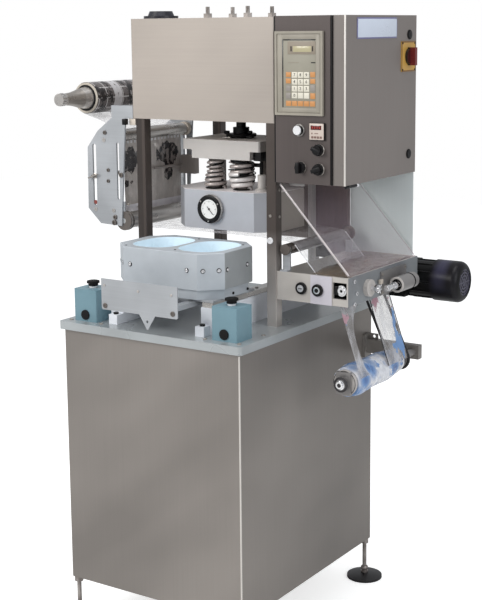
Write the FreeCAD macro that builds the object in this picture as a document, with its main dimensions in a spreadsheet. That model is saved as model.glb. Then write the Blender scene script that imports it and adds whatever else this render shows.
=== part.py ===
# Tray sealer with a press head, a loading drawer and a film path
# Units are millimetres, +Z is up, +X points to the operator's right seen from the front,
# +Y points to the back. The origin lies on the floor under the middle of the machine's
# overall width; the middle of the table lies at table_middle, and heights in the list
# below count from the top of the table unless they say otherwise.
import FreeCAD, Part
import math
import os

import Sketcher

V = FreeCAD.Vector
doc = FreeCAD.newDocument("tray_sealer")
sheet = doc.addObject("Spreadsheet::Sheet", "Sizes")

# Driving dimensions: alias, value and what it is
SIZES = [
    ("table_middle", -68, "table's middle across, from the middle of the whole machine"),
    ("table_width", 648, "table top from side to side"),
    ("table_depth", 784, "table top from front to back"),
    ("table_height", 934, "floor to the top of the table"),
    ("table_thick", 24, "folded edge of the table top"),
    ("table_corner", 10, "rounded vertical corners of the table top"),
    ("table_overhang", 12, "table past the cabinet on every side"),
    ("cabinet_height", 777, "base cabinet without the table"),
    ("cabinet_fold", 3, "rounded folded corners of the cabinet"),
    ("foot_radius", 57, "pad of a levelling foot"),
    ("foot_rim", 8, "upright rim of the pad"),
    ("foot_thick", 16, "pad in its middle"),
    ("foot_neck_radius", 12, "swivel joint on the pad"),
    ("foot_neck_height", 22, "swivel joint on the pad"),
    ("foot_waist_radius", 8, "waist of the swivel joint"),
    ("foot_rod_radius", 6.5, "threaded rod of a foot"),
    ("foot_inset", 14, "rod axis from the sides of the cabinet"),
    ("foot_nut_flats", 24, "nut width across the flats"),
    ("foot_nut_thick", 16, "nut height"),
    ("post_size", 32, "square frame posts"),
    ("post_round", 2, "rounded edges of the posts"),
    ("post_left", -222, "left face of the left posts"),
    ("post_right", 275, "right face of the right posts"),
    ("post_front", -131, "front face of the front posts"),
    ("rear_post_front", 272, "front face of the rear left post"),
    ("housing_left", -232, "left face of the top housing"),
    ("housing_right", 272, "right face of the top housing"),
    ("housing_front", -133, "front of the top housing"),
    ("housing_rear", 304, "rear of the top housing"),
    ("housing_bottom", 586, "underside of the top housing"),
    ("housing_top", 882, "top of the top housing"),
    ("housing_fold", 3, "rounded folded corners of the top housing"),
    ("column_left", 134, "left face of the rear column"),
    ("column_front", 284, "front of the rear column"),
    ("column_thick", 20, "rear column"),
    ("column_strip", 29, "width of the stiff strip of the rear column"),
    ("column_cover_bottom", 135, "lower edge of the cover of the rear column"),
    ("rear_wall_left", 10, "left edge of the sheet behind the press"),
    ("rear_wall_bottom", 191, "lower edge of the sheet behind the press"),
    ("rear_wall_front", 288, "front of the sheet behind the press"),
    ("wall_thick", 2, "sheets of the rear"),
    ("stud_radius", 6, "cylinder studs on the top housing"),
    ("stud_height", 34, "cylinder studs on the top housing"),
    ("stud_pitch_x", 144, "cylinder studs on the top housing"),
    ("stud_pitch_y", 134, "cylinder studs on the top housing"),
    ("stud_nut_flats", 24, "nuts of the studs across the flats"),
    ("stud_nut_thick", 14, "nuts of the studs"),
    ("cap_radius", 52, "rim of the round cap on the top housing"),
    ("cap_rim", 8, "rim of the round cap"),
    ("cap_body_radius", 40, "round cap above its rim"),
    ("cap_top_radius", 34, "flat top of the round cap"),
    ("cap_height", 22, "round cap with its rim"),
    ("cap_left", 59, "axis of the cap from the left of the top housing"),
    ("cap_front", 73, "axis of the cap from the front of the top housing"),
    ("cabinet_gap", 5, "gap between the top housing and the control cabinet"),
    ("spacer_depth", 240, "spacer in the gap"),
    ("spacer_height", 120, "spacer in the gap"),
    ("spacer_lift", 60, "spacer above the underside of the top housing"),
    ("control_width", 215, "control cabinet without its side door"),
    ("control_front", -126, "front of the control cabinet"),
    ("control_bottom", 420, "underside of the control cabinet"),
    ("control_height", 464, "control cabinet"),
    ("panel_width", 176, "control panel"),
    ("panel_thick", 6, "control panel"),
    ("keypad_left", 2, "keypad from the left of the panel"),
    ("keypad_width", 154, "keypad"),
    ("keypad_bottom", 191, "keypad above the underside of the cabinet"),
    ("keypad_height", 231, "keypad"),
    ("keypad_thick", 8, "keypad"),
    ("keypad_rim", 7, "raised rim of the keypad"),
    ("keypad_recess", 3, "face of the keypad below its rim"),
    ("start_x", 77, "start button from the left of the panel"),
    ("start_z", 150, "start button above the underside of the cabinet"),
    ("start_radius", 14, "start button"),
    ("stop_x", 82, "lower left button from the left of the panel"),
    ("stop_z", 46, "lower left button above the underside of the cabinet"),
    ("knob_x", 141, "knobs from the left of the panel"),
    ("upper_knob_z", 97, "upper knob above the underside of the cabinet"),
    ("lower_knob_z", 43, "lower knob above the underside of the cabinet"),
    ("knob_radius", 13, "knobs"),
    ("knob_length", 18, "knobs with their rings"),
    ("knob_ring", 3, "rings of the knobs and buttons, out from them and along them"),
    ("button_length", 12, "panel buttons with their rings"),
    ("meter_left", 113, "panel meter from the left of the panel"),
    ("meter_bottom", 124, "panel meter above the underside of the cabinet"),
    ("meter_size", 48, "square panel meter"),
    ("meter_thick", 6, "square panel meter"),
    ("door_thick", 3, "side door"),
    ("door_gap", 1.5, "running gap behind the side door"),
    ("door_setback", 4, "front edge of the side door behind the front of the cabinet"),
    ("hinge_radius", 4, "barrels of the door hinges"),
    ("hinge_pin", 2, "pins of the door hinges"),
    ("hinge_length", 30, "each barrel of the door hinges"),
    ("hinge_inset", 60, "hinges from the ends of the door"),
    ("hinge_forward", 1, "hinge axis in front of the cabinet"),
    ("hinge_leaf", 14, "leaves of the hinges on the cabinet"),
    ("hinge_leaf_thick", 2, "leaves of the hinges on the cabinet"),
    ("lock_radius", 10, "locks of the side door"),
    ("lock_thick", 4, "locks of the side door"),
    ("lock_rear", 46, "locks from the rear edge of the side door"),
    ("lock_lower_z", 58, "lower lock above the foot of the side door"),
    ("lock_upper_z", 408, "upper lock above the foot of the side door"),
    ("switch_front", 326, "main switch plate from the front edge of the side door"),
    ("switch_bottom", 301, "main switch plate above the foot of the side door"),
    ("switch_depth", 90, "main switch plate along Y"),
    ("switch_height", 88, "main switch plate"),
    ("switch_thick", 3, "main switch plate"),
    ("handle_radius", 24, "disc of the switch handle"),
    ("handle_thick", 8, "disc of the switch handle"),
    ("grip_width", 14, "grip of the switch handle"),
    ("grip_length", 52, "grip of the switch handle"),
    ("grip_height", 24, "grip of the switch handle with its disc"),
    ("fit_gap", 0.3, "clearance between pieces on different bodies"),
    ("machine_axis", 15, "middle of the press and of the tray pockets"),
    ("film_plane", 243, "height of the film under the press"),
    ("film_front", -85, "near edge of the film"),
    ("film_width", 295, "film from edge to edge"),
    ("film_thick", 1, "film as modelled"),
    ("head_width", 364, "head block"),
    ("head_depth", 252, "head block"),
    ("head_height", 118, "head block"),
    ("head_front", -40, "front face of the head block"),
    ("head_bottom", 252, "underside of the head block, raised"),
    ("die_chamfer", 56, "cut corners of the tray die and the head"),
    ("platen_bottom", 490, "underside of the upper platen"),
    ("platen_thick", 31, "upper platen"),
    ("platen_width", 280, "upper platen"),
    ("platen_depth", 228, "upper platen"),
    ("platen_chamfer", 4, "cut corners of the upper platen"),
    ("tie_thick", 26, "tie plate under the platen"),
    ("tie_width", 210, "tie plate under the platen"),
    ("tie_depth", 228, "tie plate under the platen"),
    ("column_radius", 19, "press columns"),
    ("column_pitch_x", 98, "press columns"),
    ("column_pitch_y", 140, "press columns"),
    ("rod_radius", 15, "rod of the press cylinder"),
    ("rod_fit", 1, "bore of the top housing round the rod"),
    ("rod_reach", 60, "rod bore into the top housing"),
    ("rod_base_radius", 40, "round foot of the rod"),
    ("rod_base_thick", 8, "round foot of the rod"),
    ("coupling_radius", 25, "coupling above the foot of the rod"),
    ("coupling_height", 24, "coupling above the foot of the rod"),
    ("gauge_radius", 44, "rim of the pressure gauge"),
    ("gauge_case_radius", 40, "case of the pressure gauge"),
    ("gauge_thick", 12, "pressure gauge"),
    ("gauge_rim", 5, "rim of the pressure gauge, across and along"),
    ("gauge_x", -11.3, "axis of the pressure gauge"),
    ("gauge_z", 314.4, "axis of the pressure gauge"),
    ("rail_pitch", 325, "drawer rails, middle to middle"),
    ("rail_width", 45, "drawer rails"),
    ("rail_height", 78, "drawer rails"),
    ("rail_front", 77, "front end of the drawer rails from the front of the table"),
    ("rail_rear", 260, "rear end of the drawer rails"),
    ("strip_width", 35, "steel strips on the rails"),
    ("strip_thick", 14, "steel strips on the rails"),
    ("stop_width", 30, "end stops in front of the rails"),
    ("stop_length", 30, "end stops in front of the rails"),
    ("stop_height", 28, "end stops in front of the rails"),
    ("carriage_thick", 6, "carriage plate"),
    ("carriage_inset", 20, "carriage plate inside the die, front and rear"),
    ("arm_width", 24, "arms that carry the front plate"),
    ("arm_thick", 14, "arms that carry the front plate"),
    ("arm_pitch", 210, "between the arms"),
    ("arm_lap", 60, "arms under the carriage plate"),
    ("die_left", -177, "left face of the tray die"),
    ("die_width", 374, "tray die from side to side"),
    ("die_depth", 252, "tray die from front to back"),
    ("die_front", -332, "front face of the die, drawer pulled out"),
    ("die_height", 104, "tray die without its base"),
    ("die_edge", 1.5, "broken upper edge of the die"),
    ("die_base_thick", 29, "base plate under the tray die"),
    ("die_base_inset", 9, "base plate inside the outline of the die"),
    ("tray_width", 150, "tray pocket along X"),
    ("tray_depth", 196, "tray pocket along Y"),
    ("tray_pocket", 60, "depth of the tray pockets"),
    ("tray_pitch", 164, "between the tray pockets"),
    ("tray_radius", 66, "corner radius of a tray pocket"),
    ("liner_wall", 2, "wall of the tray liners"),
    ("front_plate_left", -131, "left edge of the drawer's front plate"),
    ("front_plate_width", 269, "front plate of the drawer"),
    ("front_plate_bottom", 62, "front plate of the drawer"),
    ("front_plate_height", 90, "front plate of the drawer"),
    ("front_plate_corner", 6, "rounded lower corners of the front plate"),
    ("front_plate_reach", 88, "front plate in front of the die"),
    ("front_plate_thick", 3, "front plate of the drawer"),
    ("tab_middle", 163, "finger tab from the left edge of the front plate"),
    ("tab_width", 56, "finger tab of the front plate"),
    ("tab_height", 41, "finger tab of the front plate"),
    ("tab_hole", 4, "hole in the finger tab"),
    ("box_width", 84, "two-hand control boxes"),
    ("box_depth", 77, "two-hand control boxes"),
    ("box_height", 96, "two-hand control boxes"),
    ("box_round", 3, "rounded edges of the control boxes"),
    ("box_front", 34, "control boxes from the front of the table"),
    ("box_gap", 21, "between a drawer rail and the control box beside it"),
    ("plug_radius", 14.5, "blanking plug of a control box"),
    ("plug_thick", 3, "blanking plug of a control box"),
    ("plug_height", 20, "middle of the blanking plug above the table"),
    ("collar_radius", 11.5, "fixed collar under a mushroom button"),
    ("collar_height", 8, "fixed collar under a mushroom button"),
    ("mushroom_radius", 19, "mushroom button"),
    ("mushroom_skirt", 14.5, "skirt of a mushroom button"),
    ("mushroom_inner", 12.3, "hollow of the skirt"),
    ("mushroom_lift", 6, "skirt above the box, button out"),
    ("mushroom_cap", 8, "head of a mushroom button"),
    ("mushroom_crown", 2, "dome of the head"),
    ("mushroom_stem", 5, "stem radius of a mushroom button"),
    ("mushroom_reach", 20, "stem below the skirt"),
    ("reel_x", -453, "unwind reel axis"),
    ("reel_z", 640.5, "unwind reel axis"),
    ("reel_radius", 49, "film roll on the unwind reel"),
    ("shaft_radius", 12, "reel shafts"),
    ("shaft_overhang", 130, "unwind shaft in front of the film"),
    ("shaft_cap_radius", 19, "front cap of the unwind shaft"),
    ("shaft_cap_length", 22, "front cap of the unwind shaft"),
    ("hub_radius", 36, "cone hub in front of the film roll"),
    ("hub_length", 34, "cone hub in front of the film roll"),
    ("arm_bar_thick", 12, "arm of the unwind reel"),
    ("arm_bar_height", 40, "arm of the unwind reel"),
    ("arm_bar_end", 24, "arm of the unwind reel past the axis"),
    ("bore_fit", 0.1, "bores round the reel shafts"),
    ("shaft_tail", 30, "unwind shaft behind its arm"),
    ("web_plate_thick", 6, "slotted side plates of the film path"),
    ("web_plate_gap", 345, "between the slotted plates"),
    ("web_mount_depth", 30, "blocks that hold the slotted plates"),
    ("web_mount_left", -283, "blocks that hold the slotted plates"),
    ("web_mount_bottom", 585, "blocks that hold the slotted plates"),
    ("web_mount_height", 38, "blocks that hold the slotted plates"),
    ("plate_edge_x", -315, "slotted plates, left edge of the top"),
    ("plate_shoulder_x", -371, "slotted plates, upper left corner"),
    ("plate_shoulder_z", 544, "slotted plates, upper left corner"),
    ("plate_upper_x", -413, "slotted plates, top of the left edge"),
    ("plate_upper_z", 492, "slotted plates, top of the left edge"),
    ("plate_lower_x", -416, "slotted plates, foot of the left edge"),
    ("plate_lower_z", 301, "slotted plates, foot of the left edge"),
    ("plate_foot_x", -367, "slotted plates, lower left corner"),
    ("plate_foot_z", 256, "slotted plates, lower left corner"),
    ("plate_toe_x", -285, "slotted plates, lower right corner"),
    ("plate_toe_z", 253, "slotted plates, lower right corner"),
    ("plate_right_x", -262, "slotted plates, upper right corner"),
    ("slot_width", 14, "long slot of the plates"),
    ("slot_middle", -387, "long slot of the plates"),
    ("slot_bottom", 319, "long slot of the plates, where its round end starts"),
    ("slot_top", 496, "long slot of the plates, where its round end starts"),
    ("short_slot_width", 10, "slot of the plates beside the film"),
    ("short_slot_middle", -294, "slot of the plates beside the film"),
    ("short_slot_bottom", 339, "slot of the plates beside the film"),
    ("short_slot_top", 505, "slot of the plates beside the film, below the pinch roller"),
    ("pinch_x", -288, "right pinch roller"),
    ("pinch_z", 531, "pinch rollers"),
    ("pinch_radius", 18, "right pinch roller"),
    ("pinch_left_radius", 16, "left pinch roller"),
    ("lower_roller_radius", 25, "roller that turns the film level"),
    ("lower_collar_radius", 29, "collars of the lower roller"),
    ("lower_collar_length", 20, "front collar of the lower roller"),
    ("lower_collar_rear", 6, "rear collar of the lower roller, beside the film"),
    ("bar_radius", 7, "guide bars between the plates"),
    ("bar_low_z", 299, "lower guide bars"),
    ("bar_high_z", 402, "upper guide bar"),
    ("sensor_left", -300, "film sensor behind the film"),
    ("sensor_width", 60, "film sensor"),
    ("sensor_depth", 22, "film sensor"),
    ("sensor_bottom", 385, "film sensor"),
    ("sensor_height", 60, "film sensor"),
    ("sensor_rod_radius", 4, "rod of the film sensor"),
    ("sensor_rod_length", 146, "rod of the film sensor"),
    ("sensor_rod_inset", 5, "rod of the film sensor from its left side"),
    ("outfeed_x", 297, "outfeed roller"),
    ("outfeed_radius", 16, "outfeed roller"),
    ("outfeed_front", -119, "front end of the outfeed roller"),
    ("outfeed_length", 383, "outfeed roller"),
    ("outfeed_head", 7, "disc in front of the outfeed roller's front journal"),
    ("outfeed_journal", 9, "journals of the outfeed roller"),
    ("outfeed_journal_radius", 7, "journals of the outfeed roller"),
    ("outfeed_collar_radius", 23, "rear collar of the outfeed roller"),
    ("outfeed_collar", 8, "rear collar of the outfeed roller"),
    ("bracket_thick", 6, "brackets of the outfeed roller"),
    ("bracket_width", 24, "brackets of the outfeed roller"),
    ("bracket_foot", 4, "feet of the brackets"),
    ("frame_right", 508, "right face of the nip roller frame"),
    ("frame_front", -127, "front of the nip roller frame"),
    ("frame_rear", 304, "rear of the nip roller frame"),
    ("frame_bottom", 82, "underside of the nip roller frame"),
    ("frame_height", 82, "nip roller frame"),
    ("frame_thick", 6, "plates of the nip roller frame"),
    ("frame_plate_left", 388, "plate screwed on the front of the frame"),
    ("frame_plate_width", 69, "plate screwed on the front of the frame"),
    ("frame_plate_thick", 3, "plate screwed on the front of the frame"),
    ("window_left", 459, "window in the front of the frame"),
    ("window_width", 44, "window in the front of the frame"),
    ("window_bottom", 102, "window in the front of the frame"),
    ("window_height", 47, "window in the front of the frame"),
    ("nip_left_x", 357, "left nip roller"),
    ("nip_right_x", 412, "right nip roller"),
    ("nip_z", 122, "nip rollers"),
    ("nip_radius", 26.5, "nip rollers"),
    ("nip_belt_gap", 14, "nip rollers end short of the belt"),
    ("side_roller_x", 482, "steel roller behind the window"),
    ("side_roller_radius", 15, "steel roller behind the window"),
    ("bearing_radius", 17, "bearing flanges on the front of the frame"),
    ("bearing_inner", 10, "bearing flanges on the front of the frame"),
    ("bearing_thick", 8, "bearing flanges on the front of the frame"),
    ("boss_y", -16, "boss on the right of the frame"),
    ("boss_z", 120, "boss on the right of the frame"),
    ("boss_radius", 23, "boss on the right of the frame"),
    ("boss_thick", 12, "boss on the right of the frame"),
    ("boss_pin_radius", 7, "pin of the boss"),
    ("boss_pin_length", 37, "pin of the boss with the boss"),
    ("clutch_plate_front", 61, "plate that holds the slip clutch"),
    ("clutch_plate_depth", 161, "plate that holds the slip clutch"),
    ("clutch_plate_bottom", 84, "plate that holds the slip clutch"),
    ("clutch_plate_height", 69, "plate that holds the slip clutch"),
    ("clutch_plate_thick", 4, "plate that holds the slip clutch"),
    ("clutch_reach", 37, "slip clutch axis from the right of the frame"),
    ("clutch_z", 113, "slip clutch"),
    ("clutch_front", 96, "slip clutch"),
    ("clutch_length", 100, "slip clutch"),
    ("clutch_radius", 23, "slip clutch"),
    ("clutch_bore_radius", 17, "slip clutch"),
    ("clutch_bore_depth", 30, "slip clutch"),
    ("clutch_pin_radius", 8, "pin in the bore of the slip clutch"),
    ("clutch_block_depth", 60, "block under the slip clutch"),
    ("clutch_block_height", 22, "block under the slip clutch"),
    ("motor_gap", 62, "motor axis behind the frame"),
    ("motor_z", 84, "motor axis"),
    ("motor_radius", 58, "motor"),
    ("motor_rib", 3, "cooling ribs of the motor"),
    ("motor_end", 638, "rear end of the motor's fan cowl"),
    ("motor_length", 172, "motor with its fan cowl"),
    ("cowl_length", 92, "fan cowl of the motor"),
    ("cowl_radius", 63, "fan cowl of the motor"),
    ("cowl_round", 22, "rounded rear edge of the fan cowl"),
    ("cowl_step", 4, "inlet in the fan cowl"),
    ("gearbox_left", 374, "worm gearbox"),
    ("gearbox_height", 104, "worm gearbox"),
    ("guard_thick", 4, "clear guard"),
    ("guard_inset", 10, "clear guard from the front and the rear of the frame"),
    ("waste_x", 480, "waste reel axis"),
    ("waste_z", -145, "waste reel axis"),
    ("waste_front", -118, "front end of the waste reel shaft"),
    ("waste_radius", 48, "waste film wound on its reel"),
    ("waste_flange_radius", 37, "front flange of the waste reel"),
    ("waste_flange_thick", 6, "front flange of the waste reel"),
    ("waste_hub_radius", 24, "hub of the waste reel"),
    ("waste_hub_length", 14, "hub of the waste reel"),
    ("waste_clamp_width", 46, "clamp on the waste reel"),
    ("waste_clamp_depth", 14, "clamp on the waste reel"),
    ("waste_clamp_height", 66, "clamp on the waste reel"),
    ("reel_bar_front", 330, "bar that carries the waste reel"),
    ("reel_bar_depth", 24, "bar that carries the waste reel"),
    ("reel_bar_height", 44, "bar that carries the waste reel"),
    ("reel_bar_end", 22, "bar past the waste reel axis"),
    ("reel_plate_depth", 43, "wall plate of the reel bracket"),
    ("reel_plate_height", 74, "wall plate of the reel bracket"),
    ("reel_plate_thick", 8, "wall plate of the reel bracket"),
    ("gusset_width", 44, "gusset of the reel bracket"),
    ("gusset_thick", 4, "gusset of the reel bracket"),
    ("gusset_height", 18, "gusset of the reel bracket"),
    ("gusset_hole", 5, "hole in the gusset"),
    ("belt_y", 244, "round drive belt"),
    ("belt_radius", 4, "round drive belt"),
    ("pulley_radius", 32, "belt pulleys with the belt on them"),
    ("pulley_width", 16, "belt pulleys"),
]
for row, (alias, size, note) in enumerate(SIZES, start=1):
    sheet.set("A%d" % row, note)
    sheet.set("B%d" % row, str(size))
    sheet.setAlias("B%d" % row, alias)
doc.recompute()


class Size:
    """A length that knows its value and the sheet expression that gives it."""

    def __init__(self, value, text):
        self.value = float(value)
        self.text = text

    def __add__(self, other):
        other = as_size(other)
        return Size(self.value + other.value, "(%s + %s)" % (self.text, other.text))

    def __sub__(self, other):
        other = as_size(other)
        return Size(self.value - other.value, "(%s - %s)" % (self.text, other.text))

    def __mul__(self, factor):
        return Size(self.value * factor, "(%s * %r)" % (self.text, factor))

    def __truediv__(self, factor):
        return Size(self.value / factor, "(%s / %r)" % (self.text, factor))

    def __neg__(self):
        return Size(-self.value, "(-1 * %s)" % self.text)

    def __radd__(self, other):
        return as_size(other) + self

    def __rsub__(self, other):
        return as_size(other) - self


def as_size(number):
    """Turn a plain number into a Size, and leave a Size as it is."""
    if isinstance(number, Size):
        return number
    return Size(number, "(%r)" % number)


class Sheet:
    """Reads a driving dimension by its alias, as in d.table_width."""

    def __getattr__(self, alias):
        return Size(sheet.get(alias), "Sizes.%s" % alias)


d = Sheet()
ROTATIONS = {
    "z": FreeCAD.Rotation(),
    "x": FreeCAD.Rotation(V(0, 1, 0), 90),
    "y": FreeCAD.Rotation(V(1, 0, 0), -90),
    "front": FreeCAD.Rotation(V(1, 0, 0), 90),
}
CORNERS = ((-1, -1), (1, -1), (-1, 1), (1, 1))
nodes = []


def place(obj, base):
    """Bind an object's position, counted from the middle of the table top."""
    across, along, up = base
    position = (as_size(across) + d.table_middle, along, as_size(up) + d.table_height)
    for axis, size in zip("xyz", position):
        obj.setExpression("Placement.Base.%s" % axis, as_size(size).text)


def bind(obj, **sizes):
    """Bind named properties of an object to sizes."""
    for prop, size in sizes.items():
        obj.setExpression(prop, as_size(size).text)


def box(name, lengths, base):
    """A block of the given lengths along X, Y and Z from its lowest corner."""
    block = doc.addObject("Part::Box", name)
    bind(block, Length=lengths[0], Width=lengths[1], Height=lengths[2])
    place(block, base)
    return block


def cylinder(name, radius, height, base, axis="z"):
    """A round bar from the middle of its first end, along the named axis."""
    bar = doc.addObject("Part::Cylinder", name)
    bar.Placement = FreeCAD.Placement(V(), ROTATIONS[axis])
    bind(bar, Radius=radius, Height=height)
    place(bar, base)
    return bar


def hexagon(name, flats, height, base):
    """An upright hexagonal nut body from the middle of its lower end."""
    nut = doc.addObject("Part::Prism", name)
    nut.Polygon = 6
    bind(nut, Circumradius=flats / 2 / math.cos(math.pi / 6), Height=height)
    place(nut, base)
    return nut


def fuse(name, *parts):
    """One solid, or one group of solids, made of several."""
    union = doc.addObject("Part::MultiFuse", name)
    union.Shapes = list(parts)
    union.Refine = True
    return union


def cut(name, base, *tools):
    """The base less every tool."""
    result = doc.addObject("Part::Cut", name)
    result.Base = base
    result.Tool = tools[0] if len(tools) == 1 else fuse(name + "_tools", *tools)
    result.Refine = True
    return result


def rounded(name, base, radius, pick):
    """Round the edges of a base that the pick function chooses."""
    doc.recompute()
    fillet = doc.addObject("Part::Fillet", name)
    fillet.Base = base
    chosen = [i for i, edge in enumerate(base.Shape.Edges, start=1) if pick(edge)]
    fillet.Edges = [(i, radius.value, radius.value) for i in chosen]
    return fillet


def chamfered(name, base, size, pick):
    """Break the edges of a base that the pick function chooses."""
    doc.recompute()
    chamfer = doc.addObject("Part::Chamfer", name)
    chamfer.Base = base
    chosen = [i for i, edge in enumerate(base.Shape.Edges, start=1) if pick(edge)]
    chamfer.Edges = [(i, size.value, size.value) for i in chosen]
    return chamfer


def vertical(edge):
    """True for a straight edge along Z."""
    return edge.Curve.TypeId == "Part::GeomLine" and abs(edge.tangentAt(edge.FirstParameter).z) > 0.999


def node(label, obj):
    """Mark an object as a sub-part and give it its label."""
    obj.Label = label
    nodes.append(obj)
    return obj


def tie_point(sketch, geometry, end, corner):
    """Tie a point of the sketch to its two sizes."""
    for kind, size in (("DistanceX", corner[0]), ("DistanceY", corner[1])):
        index = sketch.addConstraint(Sketcher.Constraint(kind, -1, 1, geometry, end, size.value))
        sketch.setExpression("Constraints[%d]" % index, size.text)


def add_outline(sketch, points):
    """Draw a closed outline, where ("arc", x, y) is a point that a round stretch passes."""
    corners = []
    bulges = {}
    for point in points:
        if point[0] == "arc":
            bulges[len(corners) - 1] = (as_size(point[1]), as_size(point[2]))
        else:
            corners.append((as_size(point[0]), as_size(point[1])))
    drawn = []
    for i, corner in enumerate(corners):
        after = corners[(i + 1) % len(corners)]
        start = V(corner[0].value, corner[1].value, 0)
        end = V(after[0].value, after[1].value, 0)
        if i not in bulges:
            drawn.append((sketch.addGeometry(Part.LineSegment(start, end), False), 1, 2))
            continue
        middle = V(bulges[i][0].value, bulges[i][1].value, 0)
        left_turn = (middle - start).cross(end - middle).z > 0
        arc = Part.Arc(start, middle, end) if left_turn else Part.Arc(end, middle, start)
        curve = sketch.addGeometry(arc, False)
        drawn.append((curve, 1, 2) if left_turn else (curve, 2, 1))
        passed = sketch.addGeometry(Part.Point(middle), True)
        sketch.addConstraint(Sketcher.Constraint("PointOnObject", passed, 1, curve))
        tie_point(sketch, passed, 1, bulges[i])
    for i, (curve, first, last) in enumerate(drawn):
        following = drawn[(i + 1) % len(drawn)]
        sketch.addConstraint(Sketcher.Constraint("Coincident", curve, last, following[0], following[1]))
        tie_point(sketch, curve, first, corners[i])


def sketched_body(name, plane, outlines):
    """A body with one sketch on the named plane."""
    body = doc.addObject("PartDesign::Body", name)
    support = next(f for f in body.Origin.OriginFeatures if f.Role == plane)
    sketch = body.newObject("Sketcher::SketchObject", name + "_outline")
    sketch.AttachmentSupport = (support, "")
    sketch.MapMode = "FlatFace"
    for outline in outlines:
        add_outline(sketch, outline)
    return body, sketch


def padded(name, plane, points, depth, base=(0, 0, 0), holes=()):
    """A body padded from a closed outline, up from XY or towards the front from XZ."""
    body, sketch = sketched_body(name, plane, [points] + list(holes))
    pad = body.newObject("PartDesign::Pad", name + "_pad")
    pad.Profile = sketch
    bind(pad, Length=depth)
    place(body, base)
    return body


def turned(name, points, base, axis="z"):
    """A turned body from its radius and length outline, along the named axis."""
    body, sketch = sketched_body(name, "XZ_Plane", [points])
    revolution = body.newObject("PartDesign::Revolution", name + "_revolution")
    revolution.Profile = sketch
    revolution.ReferenceAxis = (sketch, ["V_Axis"])
    body.Placement = FreeCAD.Placement(V(), ROTATIONS[axis])
    place(body, base)
    return body


def stepped(steps):
    """Outline of a turned bar from its (radius, length) steps."""
    points = [(0, 0)]
    along = as_size(0)
    for radius, length in steps:
        points.append((radius, along))
        along = along + length
        points.append((radius, along))
    return points + [(0, along)]


def shape_node(label, shape):
    """A sub-part whose shape is worked out from the sheet in this script."""
    feature = doc.addObject("Part::Feature", label)
    feature.Shape = shape
    shift = V(d.table_middle.value, 0, d.table_height.value)
    feature.Placement = FreeCAD.Placement(shift, FreeCAD.Rotation()) * feature.Placement
    return node(label, feature)


def tangent(first, second):
    """Where a line touches two circles, each (x, z, radius, turn) with turn +1 left or -1 right."""
    dx, dz = second[0] - first[0], second[1] - first[1]
    offset = second[2] * second[3] - first[2] * first[3]
    length = math.sqrt(dx * dx + dz * dz - offset * offset)
    angle = math.atan2(dz, dx) - math.atan2(offset, length)
    left = (-math.sin(angle), math.cos(angle))
    ends = []
    for x, z, radius, turn in (first, second):
        ends.append(V(x - turn * radius * left[0], 0, z - turn * radius * left[1]))
    return ends


def path_edges(circles, shift):
    """Straight runs and arcs round the circles, shifted to the left of the path."""
    moved = [(x, z, radius - turn * shift, turn) for x, z, radius, turn in circles]
    runs = [tangent(a, b) for a, b in zip(moved, moved[1:])]
    edges = []
    for i, (start, end) in enumerate(runs):
        edges.append(Part.LineSegment(start, end).toShape())
        if i + 1 < len(runs):
            x, z, radius, turn = moved[i + 1]
            centre = V(x, 0, z)
            middle = arc_middle(end - centre, runs[i + 1][0] - centre, radius, turn)
            edges.append(Part.Arc(end, centre + middle, runs[i + 1][0]).toShape())
    return edges


def arc_middle(start, end, radius, turn):
    """The middle of an arc that turns left (+1) or right (-1) from start to end."""
    a0 = math.atan2(start.z, start.x)
    a1 = math.atan2(end.z, end.x)
    while turn > 0 and a1 < a0:
        a1 += 2 * math.pi
    while turn < 0 and a1 > a0:
        a1 -= 2 * math.pi
    middle = (a0 + a1) / 2
    return V(radius * math.cos(middle), 0, radius * math.sin(middle))


def web(circles, thickness, front, width):
    """A sheet that runs over rollers, from its path, thickness, near edge and width."""
    left = path_edges(circles, thickness / 2)
    right = path_edges(circles, -thickness / 2)
    cap_start = Part.LineSegment(right[0].Vertexes[0].Point, left[0].Vertexes[0].Point).toShape()
    cap_end = Part.LineSegment(left[-1].Vertexes[-1].Point, right[-1].Vertexes[-1].Point).toShape()
    wire = Part.Wire(Part.__sortEdges__([cap_start] + left + [cap_end] + right))
    sheet_solid = Part.Face(wire).extrude(V(0, width, 0))
    sheet_solid.translate(V(0, front, 0))
    return sheet_solid


def octagon(left, width, front, depth, chamfer):
    """Corners of a rectangle with its four corners cut off."""
    right = left + width
    rear = front + depth
    return [
        (left + chamfer, front), (right - chamfer, front), (right, front + chamfer),
        (right, rear - chamfer), (right - chamfer, rear), (left + chamfer, rear),
        (left, rear - chamfer), (left, front + chamfer),
    ]


def slot(middle, width, bottom, top):
    """Outline of an upright slot with round ends."""
    left = middle - width / 2
    right = middle + width / 2
    return [
        (left, top), (left, bottom), ("arc", middle, bottom - width / 2), (right, bottom),
        (right, top), ("arc", middle, top + width / 2),
    ]


# Base cabinet and table top
half_width = d.table_width / 2
half_depth = d.table_depth / 2
cabinet_half_width = half_width - d.table_overhang
cabinet_half_depth = half_depth - d.table_overhang
cabinet_bottom = -d.table_thick - d.cabinet_height
cabinet = box("cabinet_block", (cabinet_half_width * 2, cabinet_half_depth * 2, d.cabinet_height),
              (-cabinet_half_width, -cabinet_half_depth, cabinet_bottom))
node("base_cabinet", rounded("cabinet_rounded", cabinet, d.cabinet_fold, vertical))
slab = box("table_slab", (d.table_width, d.table_depth, d.table_thick),
           (-half_width, -half_depth, -d.table_thick))
node("table_top", rounded("table_rounded", slab, d.table_corner, vertical))

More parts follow.
